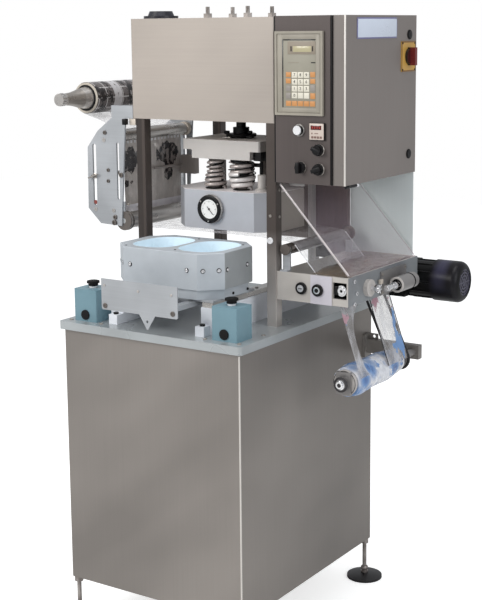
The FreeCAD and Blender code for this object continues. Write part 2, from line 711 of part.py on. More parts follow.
# Levelling feet
foot_x = cabinet_half_width - d.foot_inset
foot_y = cabinet_half_depth - d.foot_inset
foot_height = d.table_height + cabinet_bottom
neck_top = d.foot_thick + d.foot_neck_height
waist_bottom = d.foot_thick + d.foot_neck_height * 0.25
waist_top = d.foot_thick + d.foot_neck_height * 0.4
foot_outline = [
    (0, 0), (d.foot_radius, 0), (d.foot_radius, d.foot_rim),
    ("arc", d.foot_radius * 0.66, d.foot_thick * 0.8), (d.foot_neck_radius, d.foot_thick),
    (d.foot_neck_radius, waist_bottom), (d.foot_waist_radius, waist_bottom),
    (d.foot_waist_radius, waist_top),
    ("arc", d.foot_neck_radius, d.foot_thick + d.foot_neck_height * 0.68), (d.foot_waist_radius, neck_top),
    (d.foot_rod_radius, neck_top), (d.foot_rod_radius, foot_height), (0, foot_height),
]
for side, across in (("left", -1), ("right", 1)):
    for end, along in (("front", -1), ("rear", 1)):
        name = "foot_%s_%s" % (end, side)
        x, y = foot_x * across, foot_y * along
        pad_and_rod = turned(name + "_turned", foot_outline, (x, y, -d.table_height))
        nut = hexagon(name + "_nut", d.foot_nut_flats, d.foot_nut_thick,
                      (x, y, cabinet_bottom - d.foot_nut_thick))
        node(name, fuse(name + "_solid", pad_and_rod, nut))

# Frame posts, rear column and the sheet behind the press
right_post_x = d.post_right - d.post_size
for name, x, y in (
    ("post_front_left", d.post_left, d.post_front),
    ("post_front_right", right_post_x, d.post_front),
    ("post_rear_left", d.post_left, d.rear_post_front),
):
    tube = box(name + "_tube", (d.post_size, d.post_size, d.housing_bottom), (x, y, 0))
    node(name, rounded(name + "_rounded", tube, d.post_round, vertical))
strip = box("column_strip_bar", (d.column_strip, d.column_thick, d.housing_bottom),
            (d.column_left, d.column_front, 0))
cover_left = d.column_left + d.column_strip
cover = box("column_cover", (d.post_right - cover_left, d.column_thick,
                             d.housing_bottom - d.column_cover_bottom),
            (cover_left, d.column_front, d.column_cover_bottom))
node("rear_column", fuse("rear_column_solid", strip, cover))
node("rear_wall", box("rear_wall_sheet",
     (d.column_left - d.rear_wall_left, d.wall_thick, d.housing_bottom - d.rear_wall_bottom),
     (d.rear_wall_left, d.rear_wall_front, d.rear_wall_bottom)))

# Top housing with the bore of the press rod, and what stands on it
head_middle = d.head_front + d.head_depth / 2
housing = box("housing_block",
              (d.housing_right - d.housing_left, d.housing_rear - d.housing_front,
               d.housing_top - d.housing_bottom),
              (d.housing_left, d.housing_front, d.housing_bottom))
folded = rounded("housing_rounded", housing, d.housing_fold, vertical)
bore = cylinder("housing_bore", d.rod_radius + d.rod_fit, d.rod_reach,
                (d.machine_axis, head_middle, d.housing_bottom))
node("top_housing", cut("housing_bored", folded, bore))
top_parts = [turned("top_cap", [
    (0, 0), (d.cap_radius, 0), (d.cap_radius, d.cap_rim), (d.cap_body_radius, d.cap_rim),
    (d.cap_top_radius, d.cap_height), (0, d.cap_height),
], (d.housing_left + d.cap_left, d.housing_front + d.cap_front, d.housing_top))]
for i, (across, along) in enumerate(CORNERS):
    x = d.machine_axis + d.stud_pitch_x / 2 * across
    y = head_middle + d.stud_pitch_y / 2 * along
    stud = cylinder("stud_%d" % i, d.stud_radius, d.stud_height, (x, y, d.housing_top))
    nut = hexagon("stud_nut_%d" % i, d.stud_nut_flats, d.stud_nut_thick, (x, y, d.housing_top))
    top_parts.append(fuse("stud_set_%d" % i, stud, nut))
node("top_fittings", fuse("top_fittings_group", *top_parts))

# Control cabinet with its spacer and hinges, its panel and the operating parts
control_left = d.housing_right + d.cabinet_gap
control_right = control_left + d.control_width
control_top = d.control_bottom + d.control_height
door_x = control_right + d.door_gap
door_face = door_x + d.door_thick
door_front = d.control_front + d.door_setback
hinge_y = d.control_front - d.hinge_forward
hinge_feet = (d.control_bottom + d.hinge_inset, control_top - d.hinge_inset - d.hinge_length * 2)
control_parts = [
    box("control_block", (d.control_width, d.housing_rear - d.control_front, d.control_height),
        (control_left, d.control_front, d.control_bottom)),
    box("cabinet_spacer", (d.cabinet_gap, d.spacer_depth, d.spacer_height),
        (d.housing_right, d.control_front + d.spacer_lift, d.housing_bottom + d.spacer_lift)),
]
door_parts = [box("side_door_plate", (d.door_thick, d.housing_rear - door_front, d.control_height),
                  (door_x, door_front, d.control_bottom))]
for i, foot in enumerate(hinge_feet):
    upper = foot + d.hinge_length + d.fit_gap
    upper_length = d.hinge_length - d.fit_gap
    control_parts.append(cylinder("hinge_barrel_%d" % i, d.hinge_radius, d.hinge_length,
                                  (door_face, hinge_y, foot)))
    control_parts.append(cylinder("hinge_pin_%d" % i, d.hinge_pin, d.hinge_length * 2,
                                  (door_face, hinge_y, foot)))
    control_parts.append(box("hinge_leaf_%d" % i, (d.hinge_leaf, d.hinge_leaf_thick, d.hinge_length),
                             (door_face - d.hinge_leaf, d.control_front - d.hinge_leaf_thick, foot)))
    barrel = cylinder("door_barrel_%d" % i, d.hinge_radius, upper_length, (door_face, hinge_y, upper))
    leaf = box("door_leaf_%d" % i, (d.door_thick, door_front - hinge_y, upper_length),
               (door_x, hinge_y, upper))
    pin_bore = cylinder("door_bore_%d" % i, d.hinge_pin + d.fit_gap, upper_length,
                        (door_face, hinge_y, upper))
    door_parts.append(cut("door_knuckle_%d" % i, fuse("door_knuckle_body_%d" % i, barrel, leaf), pin_bore))
node("control_cabinet", fuse("control_cabinet_solid", *control_parts))
node("side_door", fuse("side_door_solid", *door_parts))
panel_front = d.control_front - d.panel_thick
node("control_panel", box("control_panel_plate", (d.panel_width, d.panel_thick, d.control_height),
                          (control_left, panel_front, d.control_bottom)))
keypad_x = control_left + d.keypad_left
keypad_z = d.control_bottom + d.keypad_bottom
keypad = box("keypad_block", (d.keypad_width, d.keypad_thick, d.keypad_height),
             (keypad_x, panel_front - d.keypad_thick, keypad_z))
keypad_face = box("keypad_face", (d.keypad_width - d.keypad_rim * 2, d.keypad_recess,
                                  d.keypad_height - d.keypad_rim * 2),
                  (keypad_x + d.keypad_rim, panel_front - d.keypad_thick, keypad_z + d.keypad_rim))
node("keypad_bezel", cut("keypad_frame", keypad, keypad_face))


def panel_button(name, x, z, radius, length):
    """A round button or knob with a wider ring, on the control panel."""
    outline = stepped([(radius + d.knob_ring, d.knob_ring), (radius, length - d.knob_ring)])
    return turned(name, outline, (control_left + x, panel_front, d.control_bottom + z), "front")


meter = box("panel_meter", (d.meter_size, d.meter_thick, d.meter_size),
            (control_left + d.meter_left, panel_front - d.meter_thick, d.control_bottom + d.meter_bottom))
node("panel_controls", fuse(
    "panel_controls_group", meter,
    panel_button("start_button", d.start_x, d.start_z, d.start_radius, d.button_length),
    panel_button("stop_button", d.stop_x, d.stop_z, d.start_radius, d.button_length),
    panel_button("upper_knob", d.knob_x, d.upper_knob_z, d.knob_radius, d.knob_length),
    panel_button("lower_knob", d.knob_x, d.lower_knob_z, d.knob_radius, d.knob_length)))

# Locks and main switch of the side door
lock_y = d.housing_rear - d.lock_rear
locks = [cylinder("door_lock_%d" % i, d.lock_radius, d.lock_thick,
                  (door_face, lock_y, d.control_bottom + z), "x")
         for i, z in enumerate((d.lock_lower_z, d.lock_upper_z))]
node("door_locks", fuse("door_locks_group", *locks))
switch_y = door_front + d.switch_front
switch_z = d.control_bottom + d.switch_bottom
node("switch_plate", box("switch_plate_block", (d.switch_thick, d.switch_depth, d.switch_height),
                         (door_face, switch_y, switch_z)))
handle_x = door_face + d.switch_thick + d.fit_gap
handle_y = switch_y + d.switch_depth / 2
handle_z = switch_z + d.switch_height / 2
disc = cylinder("handle_disc", d.handle_radius, d.handle_thick, (handle_x, handle_y, handle_z), "x")
grip = box("handle_grip", (d.grip_height, d.grip_width, d.grip_length),
           (handle_x, handle_y - d.grip_width / 2, handle_z - d.grip_length / 2))
node("switch_handle", fuse("switch_handle_solid", disc, grip))

# Press: platen, rod, columns, head block and gauge
platen_left = d.machine_axis - d.platen_width / 2
tie_bottom = d.platen_bottom - d.tie_thick
platen_top = d.platen_bottom + d.platen_thick
platen = padded("platen", "XY_Plane",
                octagon(platen_left, d.platen_width, head_middle - d.platen_depth / 2, d.platen_depth,
                        d.platen_chamfer),
                d.platen_thick, (0, 0, d.platen_bottom))
tie = box("tie_plate", (d.tie_width, d.tie_depth, d.tie_thick),
          (d.machine_axis - d.tie_width / 2, head_middle - d.tie_depth / 2, tie_bottom))
node("press_platen", fuse("press_platen_solid", platen, tie))
rod_length = d.housing_bottom - platen_top - d.rod_base_thick - d.coupling_height + d.rod_reach / 2
node("press_rod", turned("press_rod_turned", stepped([
    (d.rod_base_radius, d.rod_base_thick), (d.coupling_radius, d.coupling_height),
    (d.rod_radius, rod_length),
]), (d.machine_axis, head_middle, platen_top)))
head_top = d.head_bottom + d.head_height
columns = [cylinder("press_column_%d" % i, d.column_radius, tie_bottom - head_top,
                    (d.machine_axis + d.column_pitch_x / 2 * across,
                     head_middle + d.column_pitch_y / 2 * along, head_top))
           for i, (across, along) in enumerate(CORNERS)]
node("press_columns", fuse("press_columns_group", *columns))
node("head_block", padded("head_body", "XY_Plane",
     octagon(d.machine_axis - d.head_width / 2, d.head_width, d.head_front, d.head_depth, d.die_chamfer),
     d.head_height, (0, 0, d.head_bottom)))
rim_inner = d.gauge_radius - d.gauge_rim
gauge_face = d.gauge_thick - d.gauge_rim
node("pressure_gauge", turned("gauge_turned", [
    (0, 0), (d.gauge_case_radius, 0), (d.gauge_case_radius, gauge_face - d.gauge_rim),
    (d.gauge_radius, gauge_face - d.gauge_rim), (d.gauge_radius, gauge_face),
    ("arc", d.gauge_radius - d.gauge_rim * 0.3, d.gauge_thick - d.gauge_rim * 0.3),
    (rim_inner, d.gauge_thick), (rim_inner, gauge_face), (0, gauge_face),
], (d.gauge_x, d.head_front, d.gauge_z), "front"))

# Drawer rails with their stops and strips
rail_middle = d.rail_pitch / 2
rail_y = d.rail_front - half_depth
rails = []
strips = []
for across in (-1, 1):
    middle = rail_middle * across
    rails.append(box("rail_%d" % (across + 1), (d.rail_width, d.rail_rear - rail_y, d.rail_height),
                     (middle - d.rail_width / 2, rail_y, 0)))
    stop_middle = middle - (d.rail_width - d.stop_width) / 2 * across
    rails.append(box("rail_stop_%d" % (across + 1), (d.stop_width, d.stop_length, d.stop_height),
                     (stop_middle - d.stop_width / 2, rail_y - d.stop_length, 0)))
    strips.append(box("strip_%d" % (across + 1), (d.strip_width, d.rail_rear - rail_y, d.strip_thick),
                      (middle - d.strip_width / 2, rail_y, d.rail_height)))
node("drawer_rails", fuse("drawer_rails_group", *rails))
node("rail_strips", fuse("rail_strips_group", *strips))

# Drawer: carriage, die, liners and front plate
carriage_bottom = d.rail_height + d.strip_thick + d.fit_gap
base_bottom = carriage_bottom + d.carriage_thick
die_bottom = base_bottom + d.die_base_thick
die_top = die_bottom + d.die_height
plate_rear = d.die_front - d.front_plate_reach
plate_middle = d.front_plate_left + d.front_plate_width / 2
carriage_width = rail_middle * 2 + d.strip_width
carriage_parts = [box("carriage_plate", (carriage_width, d.die_depth - d.carriage_inset * 2,
                                         d.carriage_thick),
                      (-carriage_width / 2, d.die_front + d.carriage_inset, carriage_bottom))]
for across in (-1, 1):
    carriage_parts.append(box("arm_%d" % (across + 1), (d.arm_width, d.front_plate_reach + d.arm_lap,
                                                        d.arm_thick),
                              (plate_middle + d.arm_pitch / 2 * across - d.arm_width / 2, plate_rear,
                               carriage_bottom - d.arm_thick)))
node("drawer_carriage", fuse("drawer_carriage_solid", *carriage_parts))
inset = d.die_base_inset
die_block = padded("die_block", "XY_Plane",
                   octagon(d.die_left, d.die_width, d.die_front, d.die_depth, d.die_chamfer),
                   d.die_height, (0, 0, die_bottom))
die_base = padded("die_base", "XY_Plane",
                  octagon(d.die_left + inset, d.die_width - inset * 2, d.die_front + inset,
                          d.die_depth - inset * 2,
                          d.die_chamfer), d.die_base_thick, (0, 0, base_bottom))


def upper_rim(edge):
    """True for the straight edges round the top of the die."""
    top = (die_top + d.table_height).value
    return all(abs(vertex.Point.z - top) < 0.01 for vertex in edge.Vertexes)


die_chamfered = chamfered("die_chamfered", die_block, d.die_edge, upper_rim)
pockets = []
liners = []
for across in (-1, 1):
    name = "tray_%d" % (across + 1)
    x = d.machine_axis + d.tray_pitch / 2 * across - d.tray_width / 2
    y = d.die_front + (d.die_depth - d.tray_depth) / 2
    z = die_top - d.tray_pocket
    pocket = box(name + "_pocket", (d.tray_width, d.tray_depth, d.tray_pocket * 1.1), (x, y, z))
    pockets.append(rounded(name + "_rounded", pocket, d.tray_radius, vertical))
    gap = d.fit_gap
    outer = box(name + "_outer", (d.tray_width - gap * 2, d.tray_depth - gap * 2, d.tray_pocket - gap),
                (x + gap, y + gap, z + gap))
    outer_round = rounded(name + "_outer_round", outer, d.tray_radius - gap, vertical)
    wall = gap + d.liner_wall
    inner = box(name + "_inner", (d.tray_width - wall * 2, d.tray_depth - wall * 2, d.tray_pocket),
                (x + wall, y + wall, z + wall))
    inner_round = rounded(name + "_inner_round", inner, d.tray_radius - wall, vertical)
    liners.append(cut(name + "_liner", outer_round, inner_round))
node("tray_die", cut("tray_die_solid", fuse("die_body", die_chamfered, die_base), *pockets))
node("tray_liners", fuse("tray_liners_group", *liners))
plate_right = d.front_plate_left + d.front_plate_width
plate_top = d.front_plate_bottom + d.front_plate_height
corner = d.front_plate_corner
tab = d.front_plate_left + d.tab_middle
tab_low = d.front_plate_bottom - d.tab_height
front_plate = padded("front_plate_body", "XZ_Plane", [
    (d.front_plate_left, plate_top), (d.front_plate_left, d.front_plate_bottom + corner),
    ("arc", d.front_plate_left + corner * 0.3, d.front_plate_bottom + corner * 0.3),
    (d.front_plate_left + corner, d.front_plate_bottom), (tab - d.tab_width / 2, d.front_plate_bottom),
    (tab - corner * 0.7, tab_low + corner * 0.7), ("arc", tab, tab_low),
    (tab + corner * 0.7, tab_low + corner * 0.7), (tab + d.tab_width / 2, d.front_plate_bottom),
    (plate_right - corner, d.front_plate_bottom),
    ("arc", plate_right - corner * 0.3, d.front_plate_bottom + corner * 0.3),
    (plate_right, d.front_plate_bottom + corner), (plate_right, plate_top),
], d.front_plate_thick, (0, plate_rear, 0))
tab_hole = cylinder("tab_hole", d.tab_hole, d.front_plate_thick,
                    (tab, plate_rear - d.front_plate_thick, d.front_plate_bottom - d.tab_height * 0.45),
                    "y")
node("front_plate", cut("front_plate_solid", front_plate, tab_hole))

# Two-hand control boxes and their mushroom buttons
skirt_top = d.mushroom_cap
head_edge = d.mushroom_cap * 2 - d.mushroom_crown
mushroom_outline = [
    (0, -d.mushroom_reach), (d.mushroom_stem, -d.mushroom_reach), (d.mushroom_stem, skirt_top),
    (d.mushroom_inner, skirt_top), (d.mushroom_inner, 0), (d.mushroom_skirt, 0),
    (d.mushroom_skirt, skirt_top),
    (d.mushroom_radius, skirt_top), (d.mushroom_radius, head_edge),
    ("arc", d.mushroom_radius * 0.8, d.mushroom_cap * 2 - d.mushroom_crown * 0.4),
    (d.mushroom_radius * 0.5, d.mushroom_cap * 2), (0, d.mushroom_cap * 2),
]
for side, across in (("left", -1), ("right", 1)):
    x = (rail_middle + d.rail_width / 2 + d.box_gap + d.box_width / 2) * across
    box_y = d.box_front - half_depth
    y = box_y + d.box_depth / 2
    case = box("case_%s" % side, (d.box_width, d.box_depth, d.box_height), (x - d.box_width / 2, box_y, 0))
    case_round = rounded("case_round_%s" % side, case, d.box_round, vertical)
    collar = cylinder("collar_%s" % side, d.collar_radius, d.collar_height, (x, y, d.box_height))
    plug = cylinder("plug_%s" % side, d.plug_radius, d.plug_thick,
                    (x, box_y - d.plug_thick, d.plug_height), "y")
    well_depth = d.mushroom_reach * 1.5
    well = cylinder("well_%s" % side, d.mushroom_stem + d.fit_gap, d.collar_height + well_depth,
                    (x, y, d.box_height - well_depth))
    node("control_box_%s" % side,
         cut("control_box_%s_solid" % side, fuse("case_%s_solid" % side, case_round, collar, plug), well))
    node("mushroom_button_%s" % side,
         turned("mushroom_%s_turned" % side, mushroom_outline, (x, y, d.box_height + d.mushroom_lift)))

# Film path on the left: slotted plates, rollers, bars and film sensor
mount_top = d.web_mount_bottom + d.web_mount_height
plate_outline = [
    (d.plate_edge_x, d.web_mount_bottom), (d.plate_shoulder_x, d.plate_shoulder_z),
    (d.plate_upper_x, d.plate_upper_z),
    (d.plate_lower_x, d.plate_lower_z), (d.plate_foot_x, d.plate_foot_z), (d.plate_toe_x, d.plate_toe_z),
    (d.plate_right_x, d.web_mount_bottom), (d.web_mount_left, d.web_mount_bottom),
    (d.web_mount_left, mount_top),
    (d.plate_edge_x, mount_top),
]
slots = (slot(d.slot_middle, d.slot_width, d.slot_bottom, d.slot_top),
         slot(d.short_slot_middle, d.short_slot_width, d.short_slot_bottom, d.short_slot_top))
roller_y = d.housing_front + d.web_plate_thick
rear_plate_y = roller_y + d.web_plate_gap
for end, y in (("front", d.housing_front), ("rear", rear_plate_y)):
    node("web_plate_%s" % end, padded("web_plate_%s_body" % end, "XZ_Plane", plate_outline,
                                      d.web_plate_thick,
                                      (0, y + d.web_plate_thick, 0), slots))
mounts = [box("web_mount_%d" % i, (d.housing_left - d.web_mount_left, d.web_mount_depth,
                                   d.web_mount_height),
              (d.web_mount_left, y, d.web_mount_bottom))
          for i, y in enumerate((d.housing_front, rear_plate_y + d.web_plate_thick - d.web_mount_depth))]
node("web_mounts", fuse("web_mounts_group", *mounts))
film_gap = d.film_thick / 2 + d.fit_gap
film_line = d.pinch_x - d.pinch_radius - film_gap
pinch_left_x = film_line - film_gap - d.pinch_left_radius
lower_roller_x = film_line + film_gap + d.lower_roller_radius
lower_z = d.film_plane + film_gap + d.lower_roller_radius
low_bar_x = film_line - film_gap - d.bar_radius
lower_middle = d.web_plate_gap - d.lower_collar_length - d.lower_collar_rear
lower_roller = turned("lower_roller", stepped([
    (d.lower_collar_radius, d.lower_collar_length), (d.lower_roller_radius, lower_middle),
    (d.lower_collar_radius, d.lower_collar_rear),
]), (lower_roller_x, roller_y, lower_z), "y")
rollers = [lower_roller]
for name, radius, x, z in (
    ("pinch_right", d.pinch_radius, d.pinch_x, d.pinch_z),
    ("pinch_left", d.pinch_left_radius, pinch_left_x, d.pinch_z),
    ("bar_low_right", d.bar_radius, low_bar_x, d.bar_low_z),
    ("bar_low_left", d.bar_radius, d.slot_middle, d.bar_low_z),
    ("bar_high", d.bar_radius, d.slot_middle, d.bar_high_z),
):
    rollers.append(cylinder(name, radius, d.web_plate_gap, (x, roller_y, z), "y"))
node("guide_rollers", fuse("guide_rollers_group", *rollers))
sensor_rod_x = d.sensor_left + d.sensor_rod_inset
sensor_front = rear_plate_y - d.sensor_depth
sensor_block = box("sensor_block", (d.sensor_width, d.sensor_depth, d.sensor_height),
                   (d.sensor_left, sensor_front, d.sensor_bottom))
sensor_rod = cylinder("sensor_rod", d.sensor_rod_radius, d.sensor_rod_length,
                      (sensor_rod_x, sensor_front - d.sensor_rod_length,
                       d.sensor_bottom + d.sensor_height / 2), "y")
node("film_sensor", fuse("film_sensor_solid", sensor_block, sensor_rod))

# Unwind reel
arm_y = rear_plate_y + d.web_plate_thick
arm = box("reel_arm_bar", (d.housing_left - d.reel_x + d.arm_bar_end, d.arm_bar_thick, d.arm_bar_height),
          (d.reel_x - d.arm_bar_end, arm_y, d.reel_z - d.arm_bar_height / 2))
arm_bore = cylinder("reel_arm_bore", d.shaft_radius + d.bore_fit, d.arm_bar_thick,
                    (d.reel_x, arm_y, d.reel_z), "y")
node("reel_arm", cut("reel_arm_solid", arm, arm_bore))
shaft_front = d.film_front - d.shaft_overhang
shaft_rear = arm_y + d.arm_bar_thick + d.shaft_tail
hub_end = d.shaft_overhang - d.fit_gap
node("unwind_shaft", turned("unwind_shaft_turned", [
    (0, 0), (d.shaft_cap_radius, 0), (d.shaft_cap_radius, d.shaft_cap_length),
    (d.shaft_radius, d.shaft_cap_length),
    (d.shaft_radius, hub_end - d.hub_length), (d.hub_radius * 0.8, hub_end - d.hub_length),
    (d.hub_radius, hub_end),
    (d.shaft_radius, hub_end), (d.shaft_radius, shaft_rear - shaft_front), (0, shaft_rear - shaft_front),
], (d.reel_x, shaft_front, d.reel_z), "y"))
node("film_roll", turned("film_roll_turned", [
    (d.shaft_radius, 0), (d.reel_radius, 0), (d.reel_radius, d.film_width), (d.shaft_radius, d.film_width),
], (d.reel_x, d.film_front, d.reel_z), "y"))

# Outfeed roller and its two brackets
outfeed_z = d.film_plane - film_gap - d.outfeed_radius
frame_top = d.frame_bottom + d.frame_height
outfeed_body = d.outfeed_length - d.outfeed_head - d.outfeed_journal * 2 - d.outfeed_collar
node("outfeed_roller", turned("outfeed_turned", stepped([
    (d.outfeed_radius, d.outfeed_head), (d.outfeed_journal_radius, d.outfeed_journal),
    (d.outfeed_radius, outfeed_body),
    (d.outfeed_collar_radius, d.outfeed_collar), (d.outfeed_journal_radius, d.outfeed_journal),
]), (d.outfeed_x, d.outfeed_front, outfeed_z), "y"))
journal_middle = d.outfeed_journal / 2
front_bracket_y = d.outfeed_front + d.outfeed_head + journal_middle - d.bracket_thick / 2
rear_bracket_y = d.outfeed_front + d.outfeed_length - journal_middle - d.bracket_thick / 2
brackets = []
bracket_left = d.outfeed_x - d.bracket_width / 2
for name, y, foot_start, foot_end in (
    ("front", front_bracket_y, d.frame_front, front_bracket_y + d.bracket_thick),
    ("rear", rear_bracket_y, rear_bracket_y, d.frame_rear - d.wall_thick),
):
    upright = box("outfeed_upright_" + name, (d.bracket_width, d.bracket_thick, outfeed_z - frame_top),
                  (bracket_left, y, frame_top))
    head = cylinder("outfeed_head_" + name, d.bracket_width / 2, d.bracket_thick,
                    (d.outfeed_x, y, outfeed_z), "y")
    foot = box("outfeed_foot_" + name, (d.bracket_width, foot_end - foot_start, d.bracket_foot),
               (bracket_left, foot_start, frame_top))
    bore = cylinder("outfeed_bore_" + name, d.outfeed_journal_radius + d.fit_gap, d.bracket_thick,
                    (d.outfeed_x, y, outfeed_z), "y")
    brackets.append(cut("outfeed_bracket_" + name, fuse("outfeed_bracket_body_" + name, upright, head,
                                                        foot), bore))
node("outfeed_brackets", fuse("outfeed_brackets_group", *brackets))

# Nip roller frame, its rollers and what is screwed to it
frame_left = d.post_right
wall = d.frame_thick
frame_outer = box("frame_outer", (d.frame_right - frame_left, d.frame_rear - d.frame_front, d.frame_height),
                  (frame_left, d.frame_front, d.frame_bottom))
frame_inner = box("frame_inner",
                  (d.frame_right - frame_left - wall * 2, d.frame_rear - d.frame_front - wall * 2,
                   d.frame_height),
                  (frame_left + wall, d.frame_front + wall, d.frame_bottom))
window = box("frame_window", (d.window_width, wall, d.window_height),
             (d.window_left, d.frame_front, d.window_bottom))
front_sheet = box("frame_front_plate", (d.frame_plate_width, d.frame_plate_thick, d.frame_height),
                  (d.frame_plate_left, d.frame_front - d.frame_plate_thick, d.frame_bottom))
node("drive_frame", fuse("drive_frame_solid", cut("frame_shell", frame_outer, frame_inner, window),
                         front_sheet))
nips = []
nip_front = d.frame_front + wall
nip_rear = d.belt_y - d.nip_belt_gap
journal_length = d.frame_rear - wall - nip_rear
for name, x in (("left", d.nip_left_x), ("right", d.nip_right_x)):
    nips.append(turned("nip_" + name, stepped([(d.nip_radius, nip_rear - nip_front),
                                               (d.shaft_radius, journal_length)]),
                       (x, nip_front, d.nip_z), "y"))
groove_radius = d.pulley_radius - d.belt_radius
nips.append(cylinder("nip_pulley", groove_radius, d.pulley_width,
                     (d.nip_left_x, d.belt_y - d.pulley_width / 2, d.nip_z), "y"))
side_roller_z = d.window_bottom + d.window_height / 2
nips.append(cylinder("side_roller", d.side_roller_radius, d.frame_rear - wall - nip_front,
                     (d.side_roller_x, nip_front, side_roller_z), "y"))
node("nip_rollers", fuse("nip_rollers_group", *nips))
bearing_steps = stepped([(d.bearing_radius, d.bearing_thick / 2), (d.bearing_inner, d.bearing_thick / 2)])
boss_steps = stepped([(d.boss_radius, d.boss_thick), (d.boss_pin_radius, d.boss_pin_length - d.boss_thick)])
node("drive_fittings", fuse(
    "drive_fittings_group",
    turned("bearing_left", bearing_steps, (d.nip_left_x, d.frame_front, d.nip_z), "front"),
    turned("bearing_right", bearing_steps, (d.nip_right_x, d.frame_front - d.frame_plate_thick, d.nip_z),
           "front"),
    turned("side_boss", boss_steps, (d.frame_right, d.boss_y, d.boss_z), "x")))
clutch_plate = box("clutch_plate", (d.clutch_plate_thick, d.clutch_plate_depth, d.clutch_plate_height),
                   (d.frame_right, d.clutch_plate_front, d.clutch_plate_bottom))
clutch_block = box("clutch_block", (d.clutch_reach, d.clutch_block_depth, d.clutch_block_height),
                   (d.frame_right, d.clutch_front + (d.clutch_length - d.clutch_block_depth) / 2,
                    d.clutch_z - d.clutch_block_height / 2))
clutch = turned("clutch_turned", [
    (0, d.clutch_bore_depth * 0.3), (d.clutch_pin_radius, d.clutch_bore_depth * 0.3),
    (d.clutch_pin_radius, d.clutch_bore_depth), (d.clutch_bore_radius, d.clutch_bore_depth),
    (d.clutch_bore_radius, 0),
    (d.clutch_radius, 0), (d.clutch_radius, d.clutch_length), (0, d.clutch_length),
], (d.frame_right + d.clutch_reach, d.clutch_front, d.clutch_z), "y")
node("slip_clutch", fuse("slip_clutch_solid", clutch_plate, clutch_block, clutch))

# Gear motor behind the frame
motor_y = d.frame_rear + d.motor_gap
motor_start = d.motor_end - d.motor_length
body_end = d.motor_length - d.cowl_length
gearbox = box("gearbox", (motor_start - d.gearbox_left, d.motor_gap * 2, d.gearbox_height),
              (d.gearbox_left, d.frame_rear, d.motor_z - d.gearbox_height / 2))
motor_body = turned("motor_turned", [
    (0, 0), (d.motor_radius, 0), (d.motor_radius, body_end), (d.cowl_radius, body_end),
    (d.cowl_radius, d.motor_length - d.cowl_round),
    ("arc", d.cowl_radius - d.cowl_round * 0.29, d.motor_length - d.cowl_round * 0.29),
    (d.cowl_radius - d.cowl_round, d.motor_length),
    (d.cowl_radius - d.cowl_round, d.motor_length - d.cowl_step),
    (0, d.motor_length - d.cowl_step),
], (motor_start, motor_y, d.motor_z), "x")
ribs = []
for i in range(12):
    angle = 2 * math.pi * i / 12
    along, up = math.cos(angle), math.sin(angle)
    rib = cylinder("motor_rib_%d" % i, d.motor_rib, body_end,
                   (motor_start, motor_y + d.motor_radius * along, d.motor_z + d.motor_radius * up), "x")
    ribs.append(rib)
node("gear_motor", fuse("gear_motor_solid", gearbox, motor_body, *ribs))

# Clear guard and the sheet behind it
node("outfeed_guard", padded("guard_body", "XZ_Plane", [
    (control_left, d.control_bottom), (control_left, d.control_bottom - d.guard_thick),
    (d.frame_right - d.guard_thick, frame_top), (d.frame_right, frame_top),
], d.frame_rear - d.frame_front - d.guard_inset * 2, (0, d.frame_rear - d.guard_inset, 0)))
node("rear_panel", box("rear_panel_sheet", (d.control_width, d.wall_thick, d.control_bottom - frame_top),
                       (control_left, d.frame_rear - d.wall_thick, frame_top)))

# Film from the unwind reel, under the press, to the nip rollers
gap = film_gap.value
film_circles = [
    (d.reel_x.value, d.reel_z.value, d.reel_radius.value + gap, 1),
    (pinch_left_x.value, d.pinch_z.value, d.pinch_left_radius.value + gap, -1),
    (lower_roller_x.value, lower_z.value, d.lower_roller_radius.value + gap, 1),
    (d.outfeed_x.value, outfeed_z.value, d.outfeed_radius.value + gap, -1),
    ((d.nip_left_x.value + d.nip_right_x.value) / 2, d.nip_z.value + d.nip_radius.value * 1.2, 0, 1),
]
shape_node("film_web", web(film_circles, d.film_thick.value, d.film_front.value, d.film_width.value))

# Waste reel, its bracket, the waste film and the round belt
shaft_end = d.reel_bar_front + d.reel_bar_depth
waste_length = shaft_end - d.waste_front
waste_setback = d.film_front - d.waste_front
flange_start = waste_setback - d.waste_flange_thick
shaft_body = turned("waste_shaft_turned", stepped([
    (d.shaft_radius, flange_start - d.waste_hub_length), (d.waste_hub_radius, d.waste_hub_length),
    (d.waste_flange_radius, d.waste_flange_thick), (d.shaft_radius, waste_length - waste_setback),
]), (d.waste_x, d.waste_front, d.waste_z), "y")
clamp = box("waste_clamp", (d.waste_clamp_width, d.waste_clamp_depth, d.waste_clamp_height),
            (d.waste_x - d.waste_clamp_width / 2, d.waste_front + flange_start - d.waste_hub_length,
             d.waste_z - d.waste_clamp_height / 2))
pulley = cylinder("waste_pulley", groove_radius, d.pulley_width,
                  (d.waste_x, d.belt_y - d.pulley_width / 2, d.waste_z), "y")
node("waste_shaft", fuse("waste_shaft_solid", shaft_body, clamp, pulley))
node("waste_roll", turned("waste_roll_turned", [
    (d.shaft_radius, 0), (d.waste_radius * 0.88, 0), (d.waste_radius, d.film_width * 0.12),
    (d.waste_radius * 0.9, d.film_width * 0.4), (d.waste_radius * 0.93, d.film_width * 0.7),
    (d.waste_radius * 0.72, d.film_width), (d.shaft_radius, d.film_width),
], (d.waste_x, d.film_front, d.waste_z), "y"))
bar_middle = d.reel_bar_front + d.reel_bar_depth / 2
bar = box("reel_bar", (d.waste_x + d.reel_bar_end - cabinet_half_width, d.reel_bar_depth,
                       d.reel_bar_height),
          (cabinet_half_width, d.reel_bar_front, d.waste_z - d.reel_bar_height / 2))
wall_plate = box("reel_wall_plate", (d.reel_plate_thick, d.reel_plate_depth, d.reel_plate_height),
                 (cabinet_half_width, bar_middle - d.reel_plate_depth / 2,
                  d.waste_z - d.reel_plate_height / 2))
